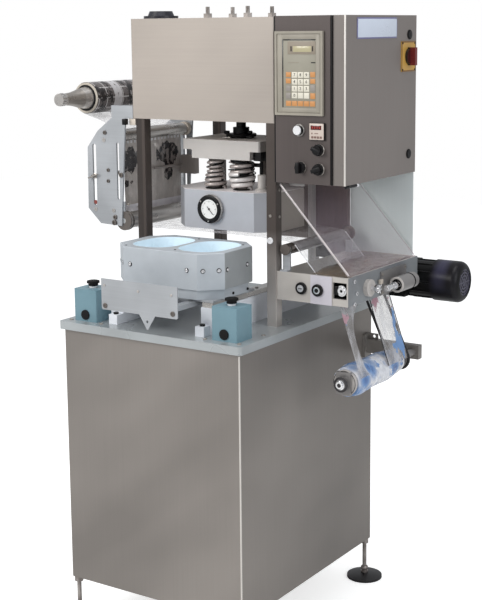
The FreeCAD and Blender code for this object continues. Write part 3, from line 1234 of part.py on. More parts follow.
gusset = box("reel_gusset", (d.gusset_width, d.gusset_thick, d.gusset_height),
             (cabinet_half_width, bar_middle - d.gusset_thick / 2, d.waste_z + d.reel_bar_height / 2))
gusset_hole = cylinder("reel_gusset_hole", d.gusset_hole, d.gusset_thick,
                       (cabinet_half_width + d.gusset_width * 0.7, bar_middle - d.gusset_thick / 2,
                        d.waste_z + (d.reel_bar_height + d.gusset_height) / 2), "y")
bar_bore = cylinder("reel_bar_bore", d.shaft_radius + d.bore_fit, d.reel_bar_depth,
                    (d.waste_x, d.reel_bar_front, d.waste_z), "y")
node("reel_bracket", cut("reel_bracket_solid", fuse("reel_bracket_body", bar, wall_plate, gusset),
                         gusset_hole, bar_bore))
belt_gap = d.pulley_radius.value + d.fit_gap.value
upper_pulley = (d.nip_left_x.value, d.nip_z.value, belt_gap, 1)
lower_pulley = (d.waste_x.value, d.waste_z.value, belt_gap, 1)
first_run = tangent(upper_pulley, lower_pulley)
second_run = tangent(lower_pulley, upper_pulley)


def belt_arc(start, end, pulley_circle):
    """The part of the belt that lies on a pulley."""
    x, z, radius, turn = pulley_circle
    middle = V(x, 0, z)
    return Part.Arc(start, middle + arc_middle(start - middle, end - middle, radius, turn), end).toShape()


belt_path = Part.Wire([
    Part.LineSegment(*first_run).toShape(), belt_arc(first_run[1], second_run[0], lower_pulley),
    Part.LineSegment(*second_run).toShape(), belt_arc(second_run[1], first_run[0], upper_pulley),
])
belt_start = belt_path.Edges[0].Vertexes[0].Point
belt_profile = Part.Wire(Part.makeCircle(d.belt_radius.value, belt_start, belt_path.Edges[0].tangentAt(0)))
belt = belt_path.makePipeShell([belt_profile], True, False)
belt.translate(V(0, d.belt_y.value, 0))
shape_node("drive_belt", belt)
waste_gap = d.film_thick.value / 2 + d.fit_gap.value
waste_run = tangent(
    (d.nip_right_x.value, d.nip_z.value, d.nip_radius.value + waste_gap, -1),
    (d.waste_x.value, d.waste_z.value, d.waste_radius.value + waste_gap, -1))
shape_node("waste_film", web([(end.x, end.z, 0, 1) for end in waste_run], d.film_thick.value,
                             d.film_front.value, d.film_width.value))

doc.recompute()
bad = [obj.Name for obj in doc.Objects if "Invalid" in obj.State or "Error" in obj.State]
if bad:
    raise SystemExit("failed objects: %s" % ", ".join(bad))
os.makedirs("parts", exist_ok=True)
for obj in nodes:
    shape = obj.Shape
    if shape.isNull() or not shape.isValid():
        raise SystemExit("bad shape: %s" % obj.Label)
    shape.exportStep("parts/%s.step" % obj.Label)
    low = shape.BoundBox
    print("%-24s X %7.1f %7.1f  Y %7.1f %7.1f  Z %7.1f %7.1f  solids %d" % (
        obj.Label, low.XMin, low.XMax, low.YMin, low.YMax, low.ZMin, low.ZMax, len(shape.Solids)))
print("nodes", len(nodes))
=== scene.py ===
# %% [markdown]
# # Dressing a tray sealer
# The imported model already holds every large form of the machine. This lesson loads it, keeps every
# part where it is, and adds what a maker would notice up close: brushed steel, printed film,
# springs, screws, dials and keys. Each new piece is told which moving body carries it.

# %% Load the frame
import bpy
import bmesh
import math
from mathutils import Matrix, Vector


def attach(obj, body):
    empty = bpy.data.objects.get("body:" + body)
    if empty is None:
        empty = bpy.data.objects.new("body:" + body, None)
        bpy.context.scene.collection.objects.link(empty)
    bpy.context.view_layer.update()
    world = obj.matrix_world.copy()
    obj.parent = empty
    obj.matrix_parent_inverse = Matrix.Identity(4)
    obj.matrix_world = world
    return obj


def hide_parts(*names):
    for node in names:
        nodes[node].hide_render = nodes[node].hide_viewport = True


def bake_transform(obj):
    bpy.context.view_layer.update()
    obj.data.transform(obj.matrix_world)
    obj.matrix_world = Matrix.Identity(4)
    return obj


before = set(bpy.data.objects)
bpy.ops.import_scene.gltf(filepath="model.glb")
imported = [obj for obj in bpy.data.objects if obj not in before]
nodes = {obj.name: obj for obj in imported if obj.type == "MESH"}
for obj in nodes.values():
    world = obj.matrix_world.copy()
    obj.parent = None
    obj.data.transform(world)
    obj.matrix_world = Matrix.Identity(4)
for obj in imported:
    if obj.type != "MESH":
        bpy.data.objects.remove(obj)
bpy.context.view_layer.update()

# %% [markdown]
# Positions on this machine are easiest to read in millimetres from the middle of the table top's
# outline, with heights from the floor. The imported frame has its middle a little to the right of
# that, so one small helper turns such a position into the frame's metres. Two more helpers put an
# object into the scene and add a shader node, since both happen all through this lesson.

# %% Positions and small helpers
TABLE_MIDDLE = -68.0


def at(x, y, z):
    return Vector(((x + TABLE_MIDDLE) / 1000, y / 1000, z / 1000))


def mm(length):
    return length / 1000


def show(name, data):
    """Put an object made of some data into the scene."""
    thing = bpy.data.objects.new(name, data)
    bpy.context.collection.objects.link(thing)
    return thing


def add_node(tree, kind, inputs, **settings):
    """Add a shader node. Each input takes a plain value or the output of another node."""
    node = tree.nodes.new("ShaderNode" + kind)
    for key, setting in settings.items():
        setattr(node, key, setting)
    for socket, source in inputs.items():
        if isinstance(source, bpy.types.NodeSocket):
            tree.links.new(source, node.inputs[socket])
        else:
            node.inputs[socket].default_value = source
    return node


# %% [markdown]
# The camera comes first, because every later choice is judged through it. The eye stands to the
# right of the machine and slightly above its top, looks about nine degrees down and leans by half
# a degree. The lens is a long one, so the upright edges stay nearly parallel, and a small shift
# keeps the machine's top in the picture without tilting further.

# %% Camera
eye = at(2252.45, -3270.49, 1785.03)
yaw, pitch, roll = math.radians(33.745), math.radians(9.1256), math.radians(-0.5861)
forward = Vector((-math.sin(yaw) * math.cos(pitch), math.cos(yaw) * math.cos(pitch), -math.sin(pitch)))
level = Vector((math.cos(yaw), math.sin(yaw), 0))
upright = level.cross(forward)
right = level * math.cos(roll) + upright * math.sin(roll)
up = upright * math.cos(roll) - level * math.sin(roll)
camera_data = bpy.data.cameras.new("camera")
camera_data.lens = 79.07
camera_data.sensor_width = 36
camera_data.sensor_fit = "AUTO"
camera_data.shift_y = -0.1
camera = show("camera", camera_data)
camera.matrix_world = Matrix.Translation(eye) @ Matrix((right, up, -forward)).transposed().to_4x4()
bpy.context.scene.camera = camera
print("camera at", tuple(round(v, 3) for v in eye))

# %% [markdown]
# The machine stands on a plain pale floor in soft studio light. A broad lamp at the front left
# gives the front faces their brightness, a weaker one from the right keeps the side panels
# readable, one above lights the tops, and the sky fills the rest. The white background is only
# what the camera sees. It adds no light of its own to the machine.

# %% Studio
scene = bpy.context.scene
scene.view_settings.view_transform = "Standard"
world = bpy.data.worlds.new("studio")
scene.world = world
world.use_nodes = True
sky = world.node_tree
sky.nodes.clear()
sky_seen = add_node(sky, "Background", {"Color": (1, 1, 1, 1)})
sky_light = add_node(sky, "Background", {"Color": (0.95, 0.97, 1.0, 1), "Strength": 0.55})
sky_ray = add_node(sky, "LightPath", {})
sky_mix = add_node(sky, "MixShader", {0: sky_ray.outputs["Is Camera Ray"], 1: sky_light.outputs[0],
                                      2: sky_seen.outputs[0]})
add_node(sky, "OutputWorld", {"Surface": sky_mix.outputs[0]})
LAMP_AIM = Vector((0, 0, 1.1))
for name, place, size, power, colour in (
        ("lamp_front_left", (-2.2, -4.2, 3.6), (2.6, 2.6), 152, (1.0, 0.985, 0.96)),
        ("lamp_right", (4.2, -1.2, 2.6), (2.2, 2.6), 48, (0.96, 0.98, 1.0)),
        ("lamp_top", (0.4, -0.4, 4.6), (2.4, 2.4), 60, (1, 1, 1))):
    lamp_data = bpy.data.lights.new(name, "AREA")
    lamp_data.shape = "RECTANGLE"
    lamp_data.size, lamp_data.size_y = size
    lamp_data.energy = power
    lamp_data.color = colour
    lamp = show(name, lamp_data)
    lamp.location = place
    lamp.rotation_euler = (LAMP_AIM - Vector(place)).to_track_quat("-Z", "Y").to_euler()

# %% [markdown]
# A floor can be a large plane. Its own shade stays pale grey where the machine's shadow falls,
# and what the camera sees elsewhere is lifted to white by a little glow that only camera rays
# meet. It belongs to the stage, and no body carries it.

# %% Floor
floor_shape = bmesh.new()
bmesh.ops.create_grid(floor_shape, x_segments=1, y_segments=1, size=9)
floor_mesh = bpy.data.meshes.new("floor")
floor_shape.to_mesh(floor_mesh)
floor_shape.free()
floor = show("floor", floor_mesh)
floor_pale = bpy.data.materials.new("floor_pale")
floor_pale.use_nodes = True
tree = floor_pale.node_tree
floor_shader = tree.nodes["Principled BSDF"]
floor_shader.inputs["Base Color"].default_value = (0.86, 0.86, 0.85, 1)
floor_shader.inputs["Roughness"].default_value = 0.7
glow = add_node(tree, "Emission", {"Strength": 0.60})
lifted = add_node(tree, "AddShader", {0: floor_shader.outputs[0], 1: glow.outputs[0]})
ray = add_node(tree, "LightPath", {})
seen = add_node(tree, "MixShader", {0: ray.outputs["Is Camera Ray"], 1: floor_shader.outputs[0],
                                    2: lifted.outputs[0]})
tree.links.new(seen.outputs[0], tree.nodes["Material Output"].inputs["Surface"])
floor_mesh.materials.append(floor_pale)
print("floor ready")

# %% [markdown]
# Materials are built from one small set of helpers, so that each finish below reads as a recipe.
# Every pattern hangs on Object coordinates, which are the frame's metres, so the grain keeps its
# scale from piece to piece. Colours are given as they look on a screen and are turned into the
# linear values that the shader wants. A finished recipe is kept under its name in `looks`.

# %% Material helpers
looks = {}


def screen(tint, factor=1.0):
    """A screen colour, 0 to 255, as a linear one that is darker or lighter by a factor."""
    def linear(value):
        value = value / 255
        return value / 12.92 if value <= 0.04045 else ((value + 0.055) / 1.055) ** 2.4
    return tuple(min(1.0, linear(value) * factor) for value in tint) + (1,)


class Finish:
    """A material with a Principled shader, and short calls for the nodes that feed it."""

    def __init__(self, name, tint, roughness, metallic=0.0):
        looks[name] = bpy.data.materials.new(name)
        looks[name].use_nodes = True
        self.tree = looks[name].node_tree
        self.shader = self.tree.nodes["Principled BSDF"]
        self.shader.inputs["Base Color"].default_value = screen(tint)
        self.shader.inputs["Roughness"].default_value = roughness
        self.shader.inputs["Metallic"].default_value = metallic
        self.coords = self.node("TexCoord", {}).outputs["Object"]

    def node(self, kind, inputs, **settings):
        return add_node(self.tree, kind, inputs, **settings)

    def axes(self):
        """The x, y and z of a point, in the frame's metres."""
        return self.node("SeparateXYZ", {0: self.coords}).outputs

    def mapped(self, scale=(1, 1, 1), turn=(0, 0, 0)):
        """Object coordinates, turned first and stretched after, so a grain can lie aslant."""
        turned = self.node("Mapping", {"Vector": self.coords, "Rotation": turn})
        return self.node("Mapping", {"Vector": turned.outputs[0], "Scale": scale}).outputs[0]

    def noise(self, scale, detail, stretch=(1, 1, 1), roughness=0.5, turn=(0, 0, 0)):
        return self.node("TexNoise", {"Scale": scale, "Detail": detail, "Roughness": roughness,
                                      "Vector": self.mapped(stretch, turn)}).outputs["Fac"]

    def ramp(self, value, stops):
        ramp = self.node("ValToRGB", {"Fac": value})
        band = ramp.color_ramp
        while len(band.elements) < len(stops):
            band.elements.new(0.5)
        for element, (place, colour) in zip(band.elements, stops):
            element.position = place
            element.color = colour
        return ramp.outputs["Color"]

    def fade(self, value, first, last, low=0.3, high=0.7):
        """From one screen colour to another."""
        return self.ramp(value, [(low, screen(first)), (high, screen(last))])

    def tones(self, value, tint, drift, reach=0.2):
        """One colour, a little darker and a little lighter."""
        return self.ramp(value, [(0.5 - reach, screen(tint, 1 - drift)),
                                 (0.5 + reach, screen(tint, 1 + drift))])

    def spread(self, value, low, high):
        """Stretch the middle half of a noise over a range."""
        return self.node("MapRange", {"Value": value, "From Min": 0.25, "From Max": 0.75,
                                      "To Min": low, "To Max": high}).outputs["Result"]

    def mixed(self, factor, first, second, blend="MIX"):
        """Mix two colours. A mix node keeps those at its inputs 6 and 7."""
        return self.node("Mix", {0: factor, 6: first, 7: second}, data_type="RGBA",
                         blend_type=blend).outputs[2]

    def maths(self, operation, first, second=0.0):
        return self.node("Math", {0: first, 1: second}, operation=operation).outputs[0]

    def above(self, value, limit):
        return self.maths("GREATER_THAN", value, limit)

    def below(self, value, limit):
        return self.maths("LESS_THAN", value, limit)

    def times(self, first, second):
        return self.maths("MULTIPLY", first, second)

    def feed(self, colour=None, roughness=None, alpha=None, metallic=None):
        for socket, source in (("Base Color", colour), ("Roughness", roughness), ("Alpha", alpha),
                               ("Metallic", metallic)):
            if source is not None:
                self.tree.links.new(source, self.shader.inputs[socket])

    def bump(self, height, strength, distance=0.0004):
        bump = self.node("Bump", {"Strength": strength, "Distance": distance, "Height": height})
        self.tree.links.new(bump.outputs["Normal"], self.shader.inputs["Normal"])


def zoned(name, base, zones, roughness, metallic, scale, stretch=(1, 1, 1), drift=0.1):
    """A finish that changes from place to place. A zone is ([(axis, start, end), ...], colour), and it
    fades in between start and end, in millimetres."""
    finish = Finish(name, base, roughness, metallic)
    places = dict(zip("xyz", finish.axes()))
    cloud = finish.noise(scale, 4.0, stretch, 0.6)
    result = finish.tones(cloud, base, drift)
    for limits, tint in zones:
        share = 1.0
        for axis, start, end in limits:
            shift = TABLE_MIDDLE if axis == "x" else 0
            edge = finish.node("MapRange", {"Value": places[axis], "From Min": mm(start + shift),
                                            "From Max": mm(end + shift)})
            share = finish.times(edge.outputs["Result"], share)
        result = finish.mixed(share, result, finish.tones(cloud, tint, drift))
    finish.feed(result, finish.spread(cloud, roughness - 0.06, roughness + 0.08))
    finish.bump(cloud, 0.06, 0.0006)


# %% [markdown]
# Stainless sheet is metal with fine parallel scratches from the belt it was brushed on. A noise
# that is stretched almost a hundredfold along the grain gives those scratches. A second, broad
# noise clouds the shine as hands and cleaning cloths do. The grain runs upright on the cabinet,
# across on the housing, and along the table. The springs' wire is done the same way.

# %% Brushed steel
ACROSS_GRAIN, ALONG_GRAIN = 260, 3


def brushed(name, tint, grain, roughness, metallic, contrast, depth=0.12,
            cloud=0.10, cloud_scale=3.2, cloud_stretch=(1, 1, 1), lean=0.0):
    finish = Finish(name, tint, roughness, metallic)
    stretch = [ALONG_GRAIN if axis == grain else ACROSS_GRAIN for axis in "xyz"]
    scratches = finish.noise(1.0, 4.0, stretch, 0.6)
    clouds = finish.noise(cloud_scale, 2.0, cloud_stretch, 0.45, (0, math.radians(lean), 0))
    base = finish.tones(scratches, tint, contrast, 0.25)
    low, high = 1 - cloud, 1 + cloud * 0.4
    clouded = finish.ramp(clouds, [(0.32, (low, low, low, 1)), (0.68, (high, high, high, 1))])
    finish.feed(finish.mixed(1.0, base, clouded, "MULTIPLY"),
                finish.spread(clouds, roughness - 0.07, roughness + 0.08))
    finish.bump(scratches, depth)


# Name, colour, grain, roughness, metallic, contrast and depth of the scratches, then strength,
# scale and stretch of the clouds and how far they lean, in degrees.
for row in (
        ("cabinet_steel", (138, 132, 127), "z", 0.42, 0.40, 0.03, 0.05, 0.26, 1.4, (1.0, 1.0, 2.4), 38),
        ("housing_steel", (168, 159, 151), "x", 0.44, 0.25, 0.03, 0.05, 0.12, 1.8, (1.0, 1.0, 2.0), 30),
        ("table_steel", (176, 181, 183), "x", 0.30, 0.45, 0.04, 0.06, 0.16, 4.0),
        ("control_steel", (118, 112, 108), "z", 0.42, 0.40, 0.04, 0.06, 0.20, 2.0, (1, 1, 0.8)),
        ("panel_steel", (86, 78, 76), "z", 0.42, 0.40, 0.05, 0.06, 0.14, 2.4),
        ("door_steel", (132, 125, 121), "z", 0.44, 0.35, 0.03, 0.05, 0.12, 1.6),
        ("plate_steel", (172, 175, 179), "x", 0.38, 0.30, 0.05, 0.08, 0.16, 6.0),
        ("pale_steel", (224, 232, 232), "z", 0.45, 0.10, 0.02, 0.04, 0.06, 4.0),
        ("roller_polished", (118, 110, 105), "y", 0.22, 0.7, 0.10, 0.06, 0.2, 8.0),
        ("turned_steel", (166, 158, 152), "y", 0.30, 0.6, 0.14, 0.1, 0.2, 8.0),
        ("wall_grey", (140, 128, 118), "z", 0.45, 0.3, 0.25, 0.1, 0.3, 6.0, (1, 1, 0.3)),
        ("spring_steel", (192, 182, 178), "z", 0.30, 0.4, 0.2),
        ("spring_pale", (232, 226, 224), "z", 0.32, 0.2, 0.12)):
    brushed(*row)
# The posts' zones are painted light. The left posts are darkened as painted shade, and the right posts grow
# paler below about 1.2 m as painted light.
zoned("post_steel", (72, 64, 60), [([("x", -200, -201)], (56, 50, 47)),
                                   ([("x", 200, 201), ("z", 1215, 965)], (190, 184, 179))],
      0.36, 0.45, 5.0, (1, 1, 0.4), 0.2)
# The rear column is paler left of x 163. Right of that it turns almost black below about 1.12 m as painted
# shade.
zoned("column_brown", (90, 72, 68), [([("x", 163.4, 162.8)], (206, 202, 196)),
                                     ([("x", 162.8, 163.4), ("z", 1130, 1116)], (32, 24, 24))],
      0.42, 0.25, 9.0, (6, 6, 0.3), 0.3)
print("steel finishes ready")

# %% [markdown]
# The tray die and the sealing head are machined aluminium. It is paler and duller than the sheet.
# Their finishes and the tie plate's are zoned for painted light: painted shade on the right faces,
# and a painted highlight on the tops of the head and the tie plate. Turned and plated parts get
# faint tool marks and small stains where water dries, from a noise in two sizes.

# %% Machined metal
def machined(name, tint, roughness, metallic):
    finish = Finish(name, tint, roughness, metallic)
    marks = finish.noise(1.0, 3.0, (40, 40, 420), 0.55)
    stains = finish.noise(14.0, 5.0, (1, 1, 1), 0.65)
    stained = finish.mixed(finish.spread(stains, 0.0, 1.0), screen(tint, 0.92), screen(tint, 1.06))
    finish.feed(finish.mixed(finish.spread(marks, 0.0, 0.35), stained, screen(tint, 1.12)),
                finish.spread(stains, roughness - 0.08, roughness + 0.1))
    finish.bump(marks, 0.08)


# Name, colour, roughness, metallic.
for row in (("platen_metal", (186, 181, 177), 0.5, 0.15), ("bright_metal", (190, 186, 182), 0.28, 0.8),
            ("chrome_metal", (226, 226, 228), 0.16, 0.95), ("zinc_metal", (160, 154, 148), 0.3, 0.75),
            ("fitting_bright", (204, 203, 205), 0.26, 0.55), ("dull_metal", (104, 98, 94), 0.42, 0.6),
            ("cream_metal", (200, 190, 178), 0.5, 0.2), ("clutch_grey", (142, 139, 138), 0.34, 0.5)):
    machined(*row)
# Painted shade on the die's right face.
zoned("die_metal", (180, 186, 192), [([("x", 196.2, 196.7)], (156, 160, 162))], 0.48, 0.2, 14.0, drift=0.06)
# Painted shade on the head's right face and a painted highlight on its top.
zoned("head_metal", (182, 184, 190), [([("x", 196.2, 196.7)], (172, 164, 157)),
                                      ([("z", 1303.2, 1303.7)], (250, 244, 244))],
      0.48, 0.15, 14.0, drift=0.05)
# A painted highlight on the tie plate's top and painted shade on its right face.
zoned("tie_metal", (196, 191, 187), [([("z", 1454.2, 1454.7)], (246, 240, 236)),
                                     ([("x", 154.2, 154.7)], (170, 164, 160))], 0.5, 0.12, 14.0, drift=0.05)
print("machined finishes ready")

# %% [markdown]
# Moulded plastic and paint share a recipe: a nearly even colour, a slight drift in tone, and a
# very fine bump that breaks up the shine like orange peel. The motor's cowl is a little lighter than
# its body and carries a painted highlight across its upper middle, the switch handle has a second
# colour at its outer end, and the blacks shine less than a paler plastic does.

# %% Paint and plastic
def coated(name, tint, roughness, peel, drift=0.05, metallic=0.0, peel_scale=420):
    finish = Finish(name, tint, roughness, metallic)
    cloud = finish.noise(18.0, 4.0)
    finish.feed(finish.tones(cloud, tint, drift),
                finish.spread(cloud, max(0.05, roughness - 0.06), roughness + 0.08))
    finish.bump(finish.noise(peel_scale, 2.0), peel)


# Name, colour, roughness, strength of the peel, then drift in tone, metallic and scale of the peel.
for row in (
        ("box_enamel", (109, 141, 153), 0.36, 0.10), ("black_satin", (14, 13, 15), 0.34, 0.08, 0.2),
        ("black_matte", (10, 9, 10), 0.6, 0.1, 0.2), ("rail_white", (232, 235, 241), 0.38, 0.05, 0.03),
        ("white_plastic", (222, 222, 224), 0.3, 0.04, 0.02),
        ("roller_rubber", (52, 50, 52), 0.55, 0.12, 0.15),
        ("belt_rubber", (28, 26, 27), 0.6, 0.15, 0.2),
        ("keypad_frame", (148, 142, 130), 0.5, 0.06, 0.08),
        ("keypad_face", (142, 138, 124), 0.45, 0.04), ("key_cream", (214, 209, 194), 0.45, 0.04),
        ("key_orange", (192, 134, 78), 0.45, 0.04), ("key_grey", (140, 134, 128), 0.45, 0.04),
        # The darkest colour on this line is painted shadow for the keypad's recess.
        ("keypad_trim", (138, 128, 114), 0.5, 0.05), ("display_glass", (30, 34, 38), 0.12, 0.01, 0.1),
        ("display_pale", (176, 168, 136), 0.18, 0.01, 0.04),
        ("dial_white", (244, 243, 240), 0.35, 0.02, 0.02), ("label_yellow", (188, 148, 72), 0.4, 0.04),
        ("label_white", (202, 210, 224), 0.3, 0.03, 0.02),
        ("label_border", (112, 112, 150), 0.4, 0.03, 0.04),
        ("plate_border", (112, 78, 40), 0.4, 0.04, 0.08),
        ("meter_pale", (200, 186, 176), 0.4, 0.04, 0.04), ("meter_red", (78, 20, 22), 0.15, 0.01, 0.08),
        ("meter_glow", (210, 70, 50), 0.4, 0.02, 0.04),
        ("meter_brown", (120, 92, 84), 0.45, 0.03, 0.06), ("seal_red", (132, 60, 52), 0.45, 0.06, 0.1),
        ("core_board", (188, 180, 168), 0.75, 0.25, 0.08, 0.0, 180),
        # The palest colour on this line is for painted highlights along edges.
        ("liner_white", (224, 240, 249), 0.3, 0.04, 0.03), ("corner_light", (204, 199, 193), 0.3, 0.04),
        ("bracket_grey", (128, 124, 120), 0.44, 0.05, 0.14, 0.3),
        ("sensor_grey", (158, 149, 144), 0.42, 0.06, 0.08),
        ("film_edge", (236, 236, 240), 0.25, 0.05, 0.08), ("grille_grey", (74, 72, 88), 0.4, 0.05, 0.1),
        ("guard_edge", (228, 222, 220), 0.22, 0.04, 0.10, 0.1),
        ("guard_line", (176, 168, 172), 0.3, 0.04, 0.10)):
    coated(*row)
# The motor's cowl zone is a little lighter. The band across its upper middle is a painted highlight.
zoned("motor_black", (3, 3, 4), [([("x", 544, 548)], (14, 12, 18)),
                                 ([("x", 550, 572), ("x", 606, 584), ("z", 985, 1055)], (56, 55, 74)),
                                 ([("x", 632.6, 633.4)], (8, 7, 10))], 0.36, 0.0, 18.0, drift=0.25)
zoned("handle_finish", (28, 20, 21), [([("x", 507.6, 508.4)], (110, 32, 32))], 0.34, 0.0, 30.0)
for dark in ("black_satin", "black_matte", "motor_black"):
    looks[dark].node_tree.nodes["Principled BSDF"].inputs["Specular IOR Level"].default_value = 0.25
print("coated finishes ready")

# %% [markdown]
# The guard is a stiff clear sheet, and the film is thin and wavy. Both are a shader with a low
# alpha, so that much of the light goes straight through, and a noise that thickens it here and
# there. Printed film has Voronoi cells for its inks, and a second noise says where there is print
# at all. Where there is none its folds still catch light.

# %% Clear guard and printed film
def clear_sheet(name, tint, body=0.10, roughness=0.06):
    finish = Finish(name, tint, roughness)
    haze = finish.noise(9.0, 4.0)
    finish.feed(finish.ramp(haze, [(0.3, screen(tint, 0.94)), (0.7, screen(tint))]),
                finish.spread(haze, roughness, roughness + 0.08),
                finish.spread(haze, body * 0.7, body * 1.35))
    finish.bump(finish.noise(5.0, 2.0), 0.05, 0.002)


def printed_film(name, inks, clear, cover, scale):
    finish = Finish(name, (226, 228, 234), 0.22)
    cells = finish.node("TexVoronoi", {"Scale": scale, "Vector": finish.mapped()})
    printed = finish.above(finish.noise(scale * 0.55, 4.0, (1, 1, 1), 0.6), 1 - cover)
    stops = [(place, screen(tint)) for place, tint in zip((0.0, 0.33, 0.55, 0.8), (*inks, (240, 240, 244)))]
    folds = finish.noise(scale * 1.7, 5.0, (1, 1, 1), 0.62)
    shine = finish.spread(folds, clear * 0.6, min(1.0, clear * 1.5))
    finish.feed(finish.mixed(printed, screen((232, 234, 240)), finish.ramp(cells.outputs["Distance"], stops)),
                finish.spread(folds, 0.12, 0.36), finish.maths("MAXIMUM", finish.times(printed, 0.82), shine))
    finish.bump(folds, 0.5, 0.006)


clear_sheet("guard_clear", (214, 196, 208))
printed_film("film_dark", ((70, 62, 66), (128, 104, 92), (176, 172, 176)), 0.35, 0.52, 26)
printed_film("waste_print", ((58, 84, 142), (112, 152, 206), (168, 184, 212)), 1.0, 0.60, 22)
print("guard and film finishes ready")

# %% [markdown]
# Some nodes join parts of different make, so their finish reads the place from Object coordinates
# and switches there. A foot is a black pad below and a zinc screw above. The drive frame has a
# paler front sheet, and its right face is darker and bluish as painted shade. The top fittings are a
# navy cap and zinc studs. The waste film has its lids cut out, and the film roll carries rows of
# outlined rectangles.

# %% Finishes that change with the place
def foot_finish(rod_from=16.5):
    finish = Finish("foot_pad_and_rod", (24, 23, 25), 0.45)
    metal = finish.above(finish.axes()[2], mm(rod_from))
    drift = finish.noise(30.0, 4.0)
    finish.feed(finish.mixed(metal, finish.fade(drift, (18, 17, 19), (32, 30, 32)),
                             finish.fade(drift, (120, 112, 108), (170, 164, 160))),
                finish.spread(drift, 0.34, 0.5), metallic=finish.times(metal, 0.7))
    finish.bump(finish.noise(500, 2.0), 0.08)


def frame_finish(right_from=507.8, front_to=-128.5):
    finish = Finish("drive_frame_steel", (192, 187, 182), 0.42, 0.2)
    x, y = finish.axes()[:2]
    drift = finish.noise(7.0, 3.0)
    # The right face is painted shade: darker and bluish.
    sides = finish.mixed(finish.above(x, mm(right_from + TABLE_MIDDLE)),
                         finish.fade(drift, (172, 167, 162), (198, 193, 187)),
                         finish.fade(drift, (112, 114, 118), (142, 146, 149)))
    finish.feed(finish.mixed(finish.below(y, mm(front_to)), sides,
                             finish.fade(drift, (186, 182, 190), (206, 202, 210))),
                finish.spread(drift, 0.36, 0.5))
    finish.bump(finish.noise(1.0, 4.0, (3, 3, 260), 0.6), 0.06)


def cap_finish(studs_from=-110):
    finish = Finish("cap_and_studs", (30, 31, 40), 0.36)
    stud = finish.above(finish.axes()[0], mm(studs_from + TABLE_MIDDLE))
    drift = finish.noise(40.0, 4.0)
    finish.feed(finish.mixed(stud, finish.fade(drift, (22, 22, 30), (38, 38, 48)),
                             finish.fade(drift, (118, 112, 108), (168, 162, 158))),
                finish.spread(drift, 0.30, 0.44), metallic=finish.times(stud, 0.7))


def waste_finish(cut_edge=0.0845):
    """Film with the lids cut out: a rounded hole, a pale printed margin and dark cut edges."""
    finish = Finish("waste_skeleton", (214, 214, 220), 0.26)
    across, height = finish.axes()[1:3]

    def power(value, middle, half):
        away = finish.maths("DIVIDE", finish.maths("SUBTRACT", value, middle), half)
        return finish.maths("POWER", finish.maths("ABSOLUTE", away), 2.6)

    hole = finish.maths("ADD", power(across, 0.088, 0.140), power(height, 0.885, 0.118))
    open_part = finish.times(finish.below(hole, 1.0), finish.below(across, cut_edge))
    rim = finish.times(finish.above(across, cut_edge), finish.below(across, 0.0885))
    dark = finish.maths("MAXIMUM", rim, finish.above(across, 0.2065))
    folds = finish.noise(30.0, 5.0, (1, 1, 0.4), 0.6)
    print_part = finish.above(finish.noise(17.0, 4.0, (1, 1, 0.8), 0.6), 0.60)
    ink = finish.mixed(finish.above(height, 0.955), screen((120, 160, 212)), screen((206, 164, 176)))
    bare = finish.fade(folds, (160, 156, 154), (214, 214, 218), 0.35, 0.65)
    body = finish.maths("MAXIMUM", finish.times(print_part, 0.85), finish.spread(folds, 0.16, 0.62))
    visible = finish.maths("MAXIMUM", body, finish.times(dark, 0.92))
    finish.feed(finish.mixed(dark, finish.mixed(print_part, bare, ink), screen((26, 24, 28))),
                finish.spread(folds, 0.14, 0.34),
                finish.times(visible, finish.maths("SUBTRACT", 1.0, open_part)))
    finish.bump(folds, 0.5, 0.005)


def roll_finish(name, centre, radius, base, line, light, blot):
    """Print on a roll: outlined rectangles in rows round it, blotches, and one pale band along it."""
    finish = Finish(name, base, 0.3)
    x, y, z = finish.axes()
    turn = finish.maths("ARCTAN2", finish.maths("SUBTRACT", z, mm(centre[1])),
                        finish.maths("SUBTRACT", x, mm(centre[0] + TABLE_MIDDLE)))
    unrolled = finish.node("CombineXYZ", {0: finish.times(turn, mm(radius)), 1: y})
    frames = finish.node("TexBrick", {"Scale": 1.0, "Mortar Size": 0.0017, "Mortar Smooth": 0.1,
                                      "Brick Width": 0.034, "Row Height": 0.040,
                                      "Vector": unrolled.outputs[0]}, offset=0.0)
    patch = finish.noise(22.0, 4.0, (1, 1.3, 1), 0.6)
    fine = finish.noise(85.0, 4.0, (1, 1, 1), 0.65)
    band = finish.maths("SINE", finish.times(finish.maths("ADD", y, 0.018), 46.0))
    pale = finish.times(finish.above(band, 0.62), finish.above(fine, 0.36))
    blotch = finish.times(finish.above(patch, 0.52), finish.below(band, 0.25))
    outlined = finish.mixed(finish.times(frames.outputs["Fac"], 0.8), finish.tones(fine, base, 0.3, 0.18),
                            screen(line))
    finish.feed(finish.mixed(finish.times(blotch, finish.above(fine, 0.42)),
                             finish.mixed(pale, outlined, screen(light)), screen(blot)),
                finish.spread(fine, 0.2, 0.4))
    finish.bump(patch, 0.2, 0.003)


REEL = (-453, 1574.5)
foot_finish()
frame_finish()
cap_finish()
waste_finish()
roll_finish("roll_rows", REEL, 49, (98, 92, 91), (216, 214, 214), (196, 194, 196), (30, 26, 27))
print("placed finishes ready")

# %% [markdown]
# Now every carried-over part of the frame gets its finish. A table keeps this in one place, with
# the parts listed by their finish, and a part that is missing from it would be reported at once.

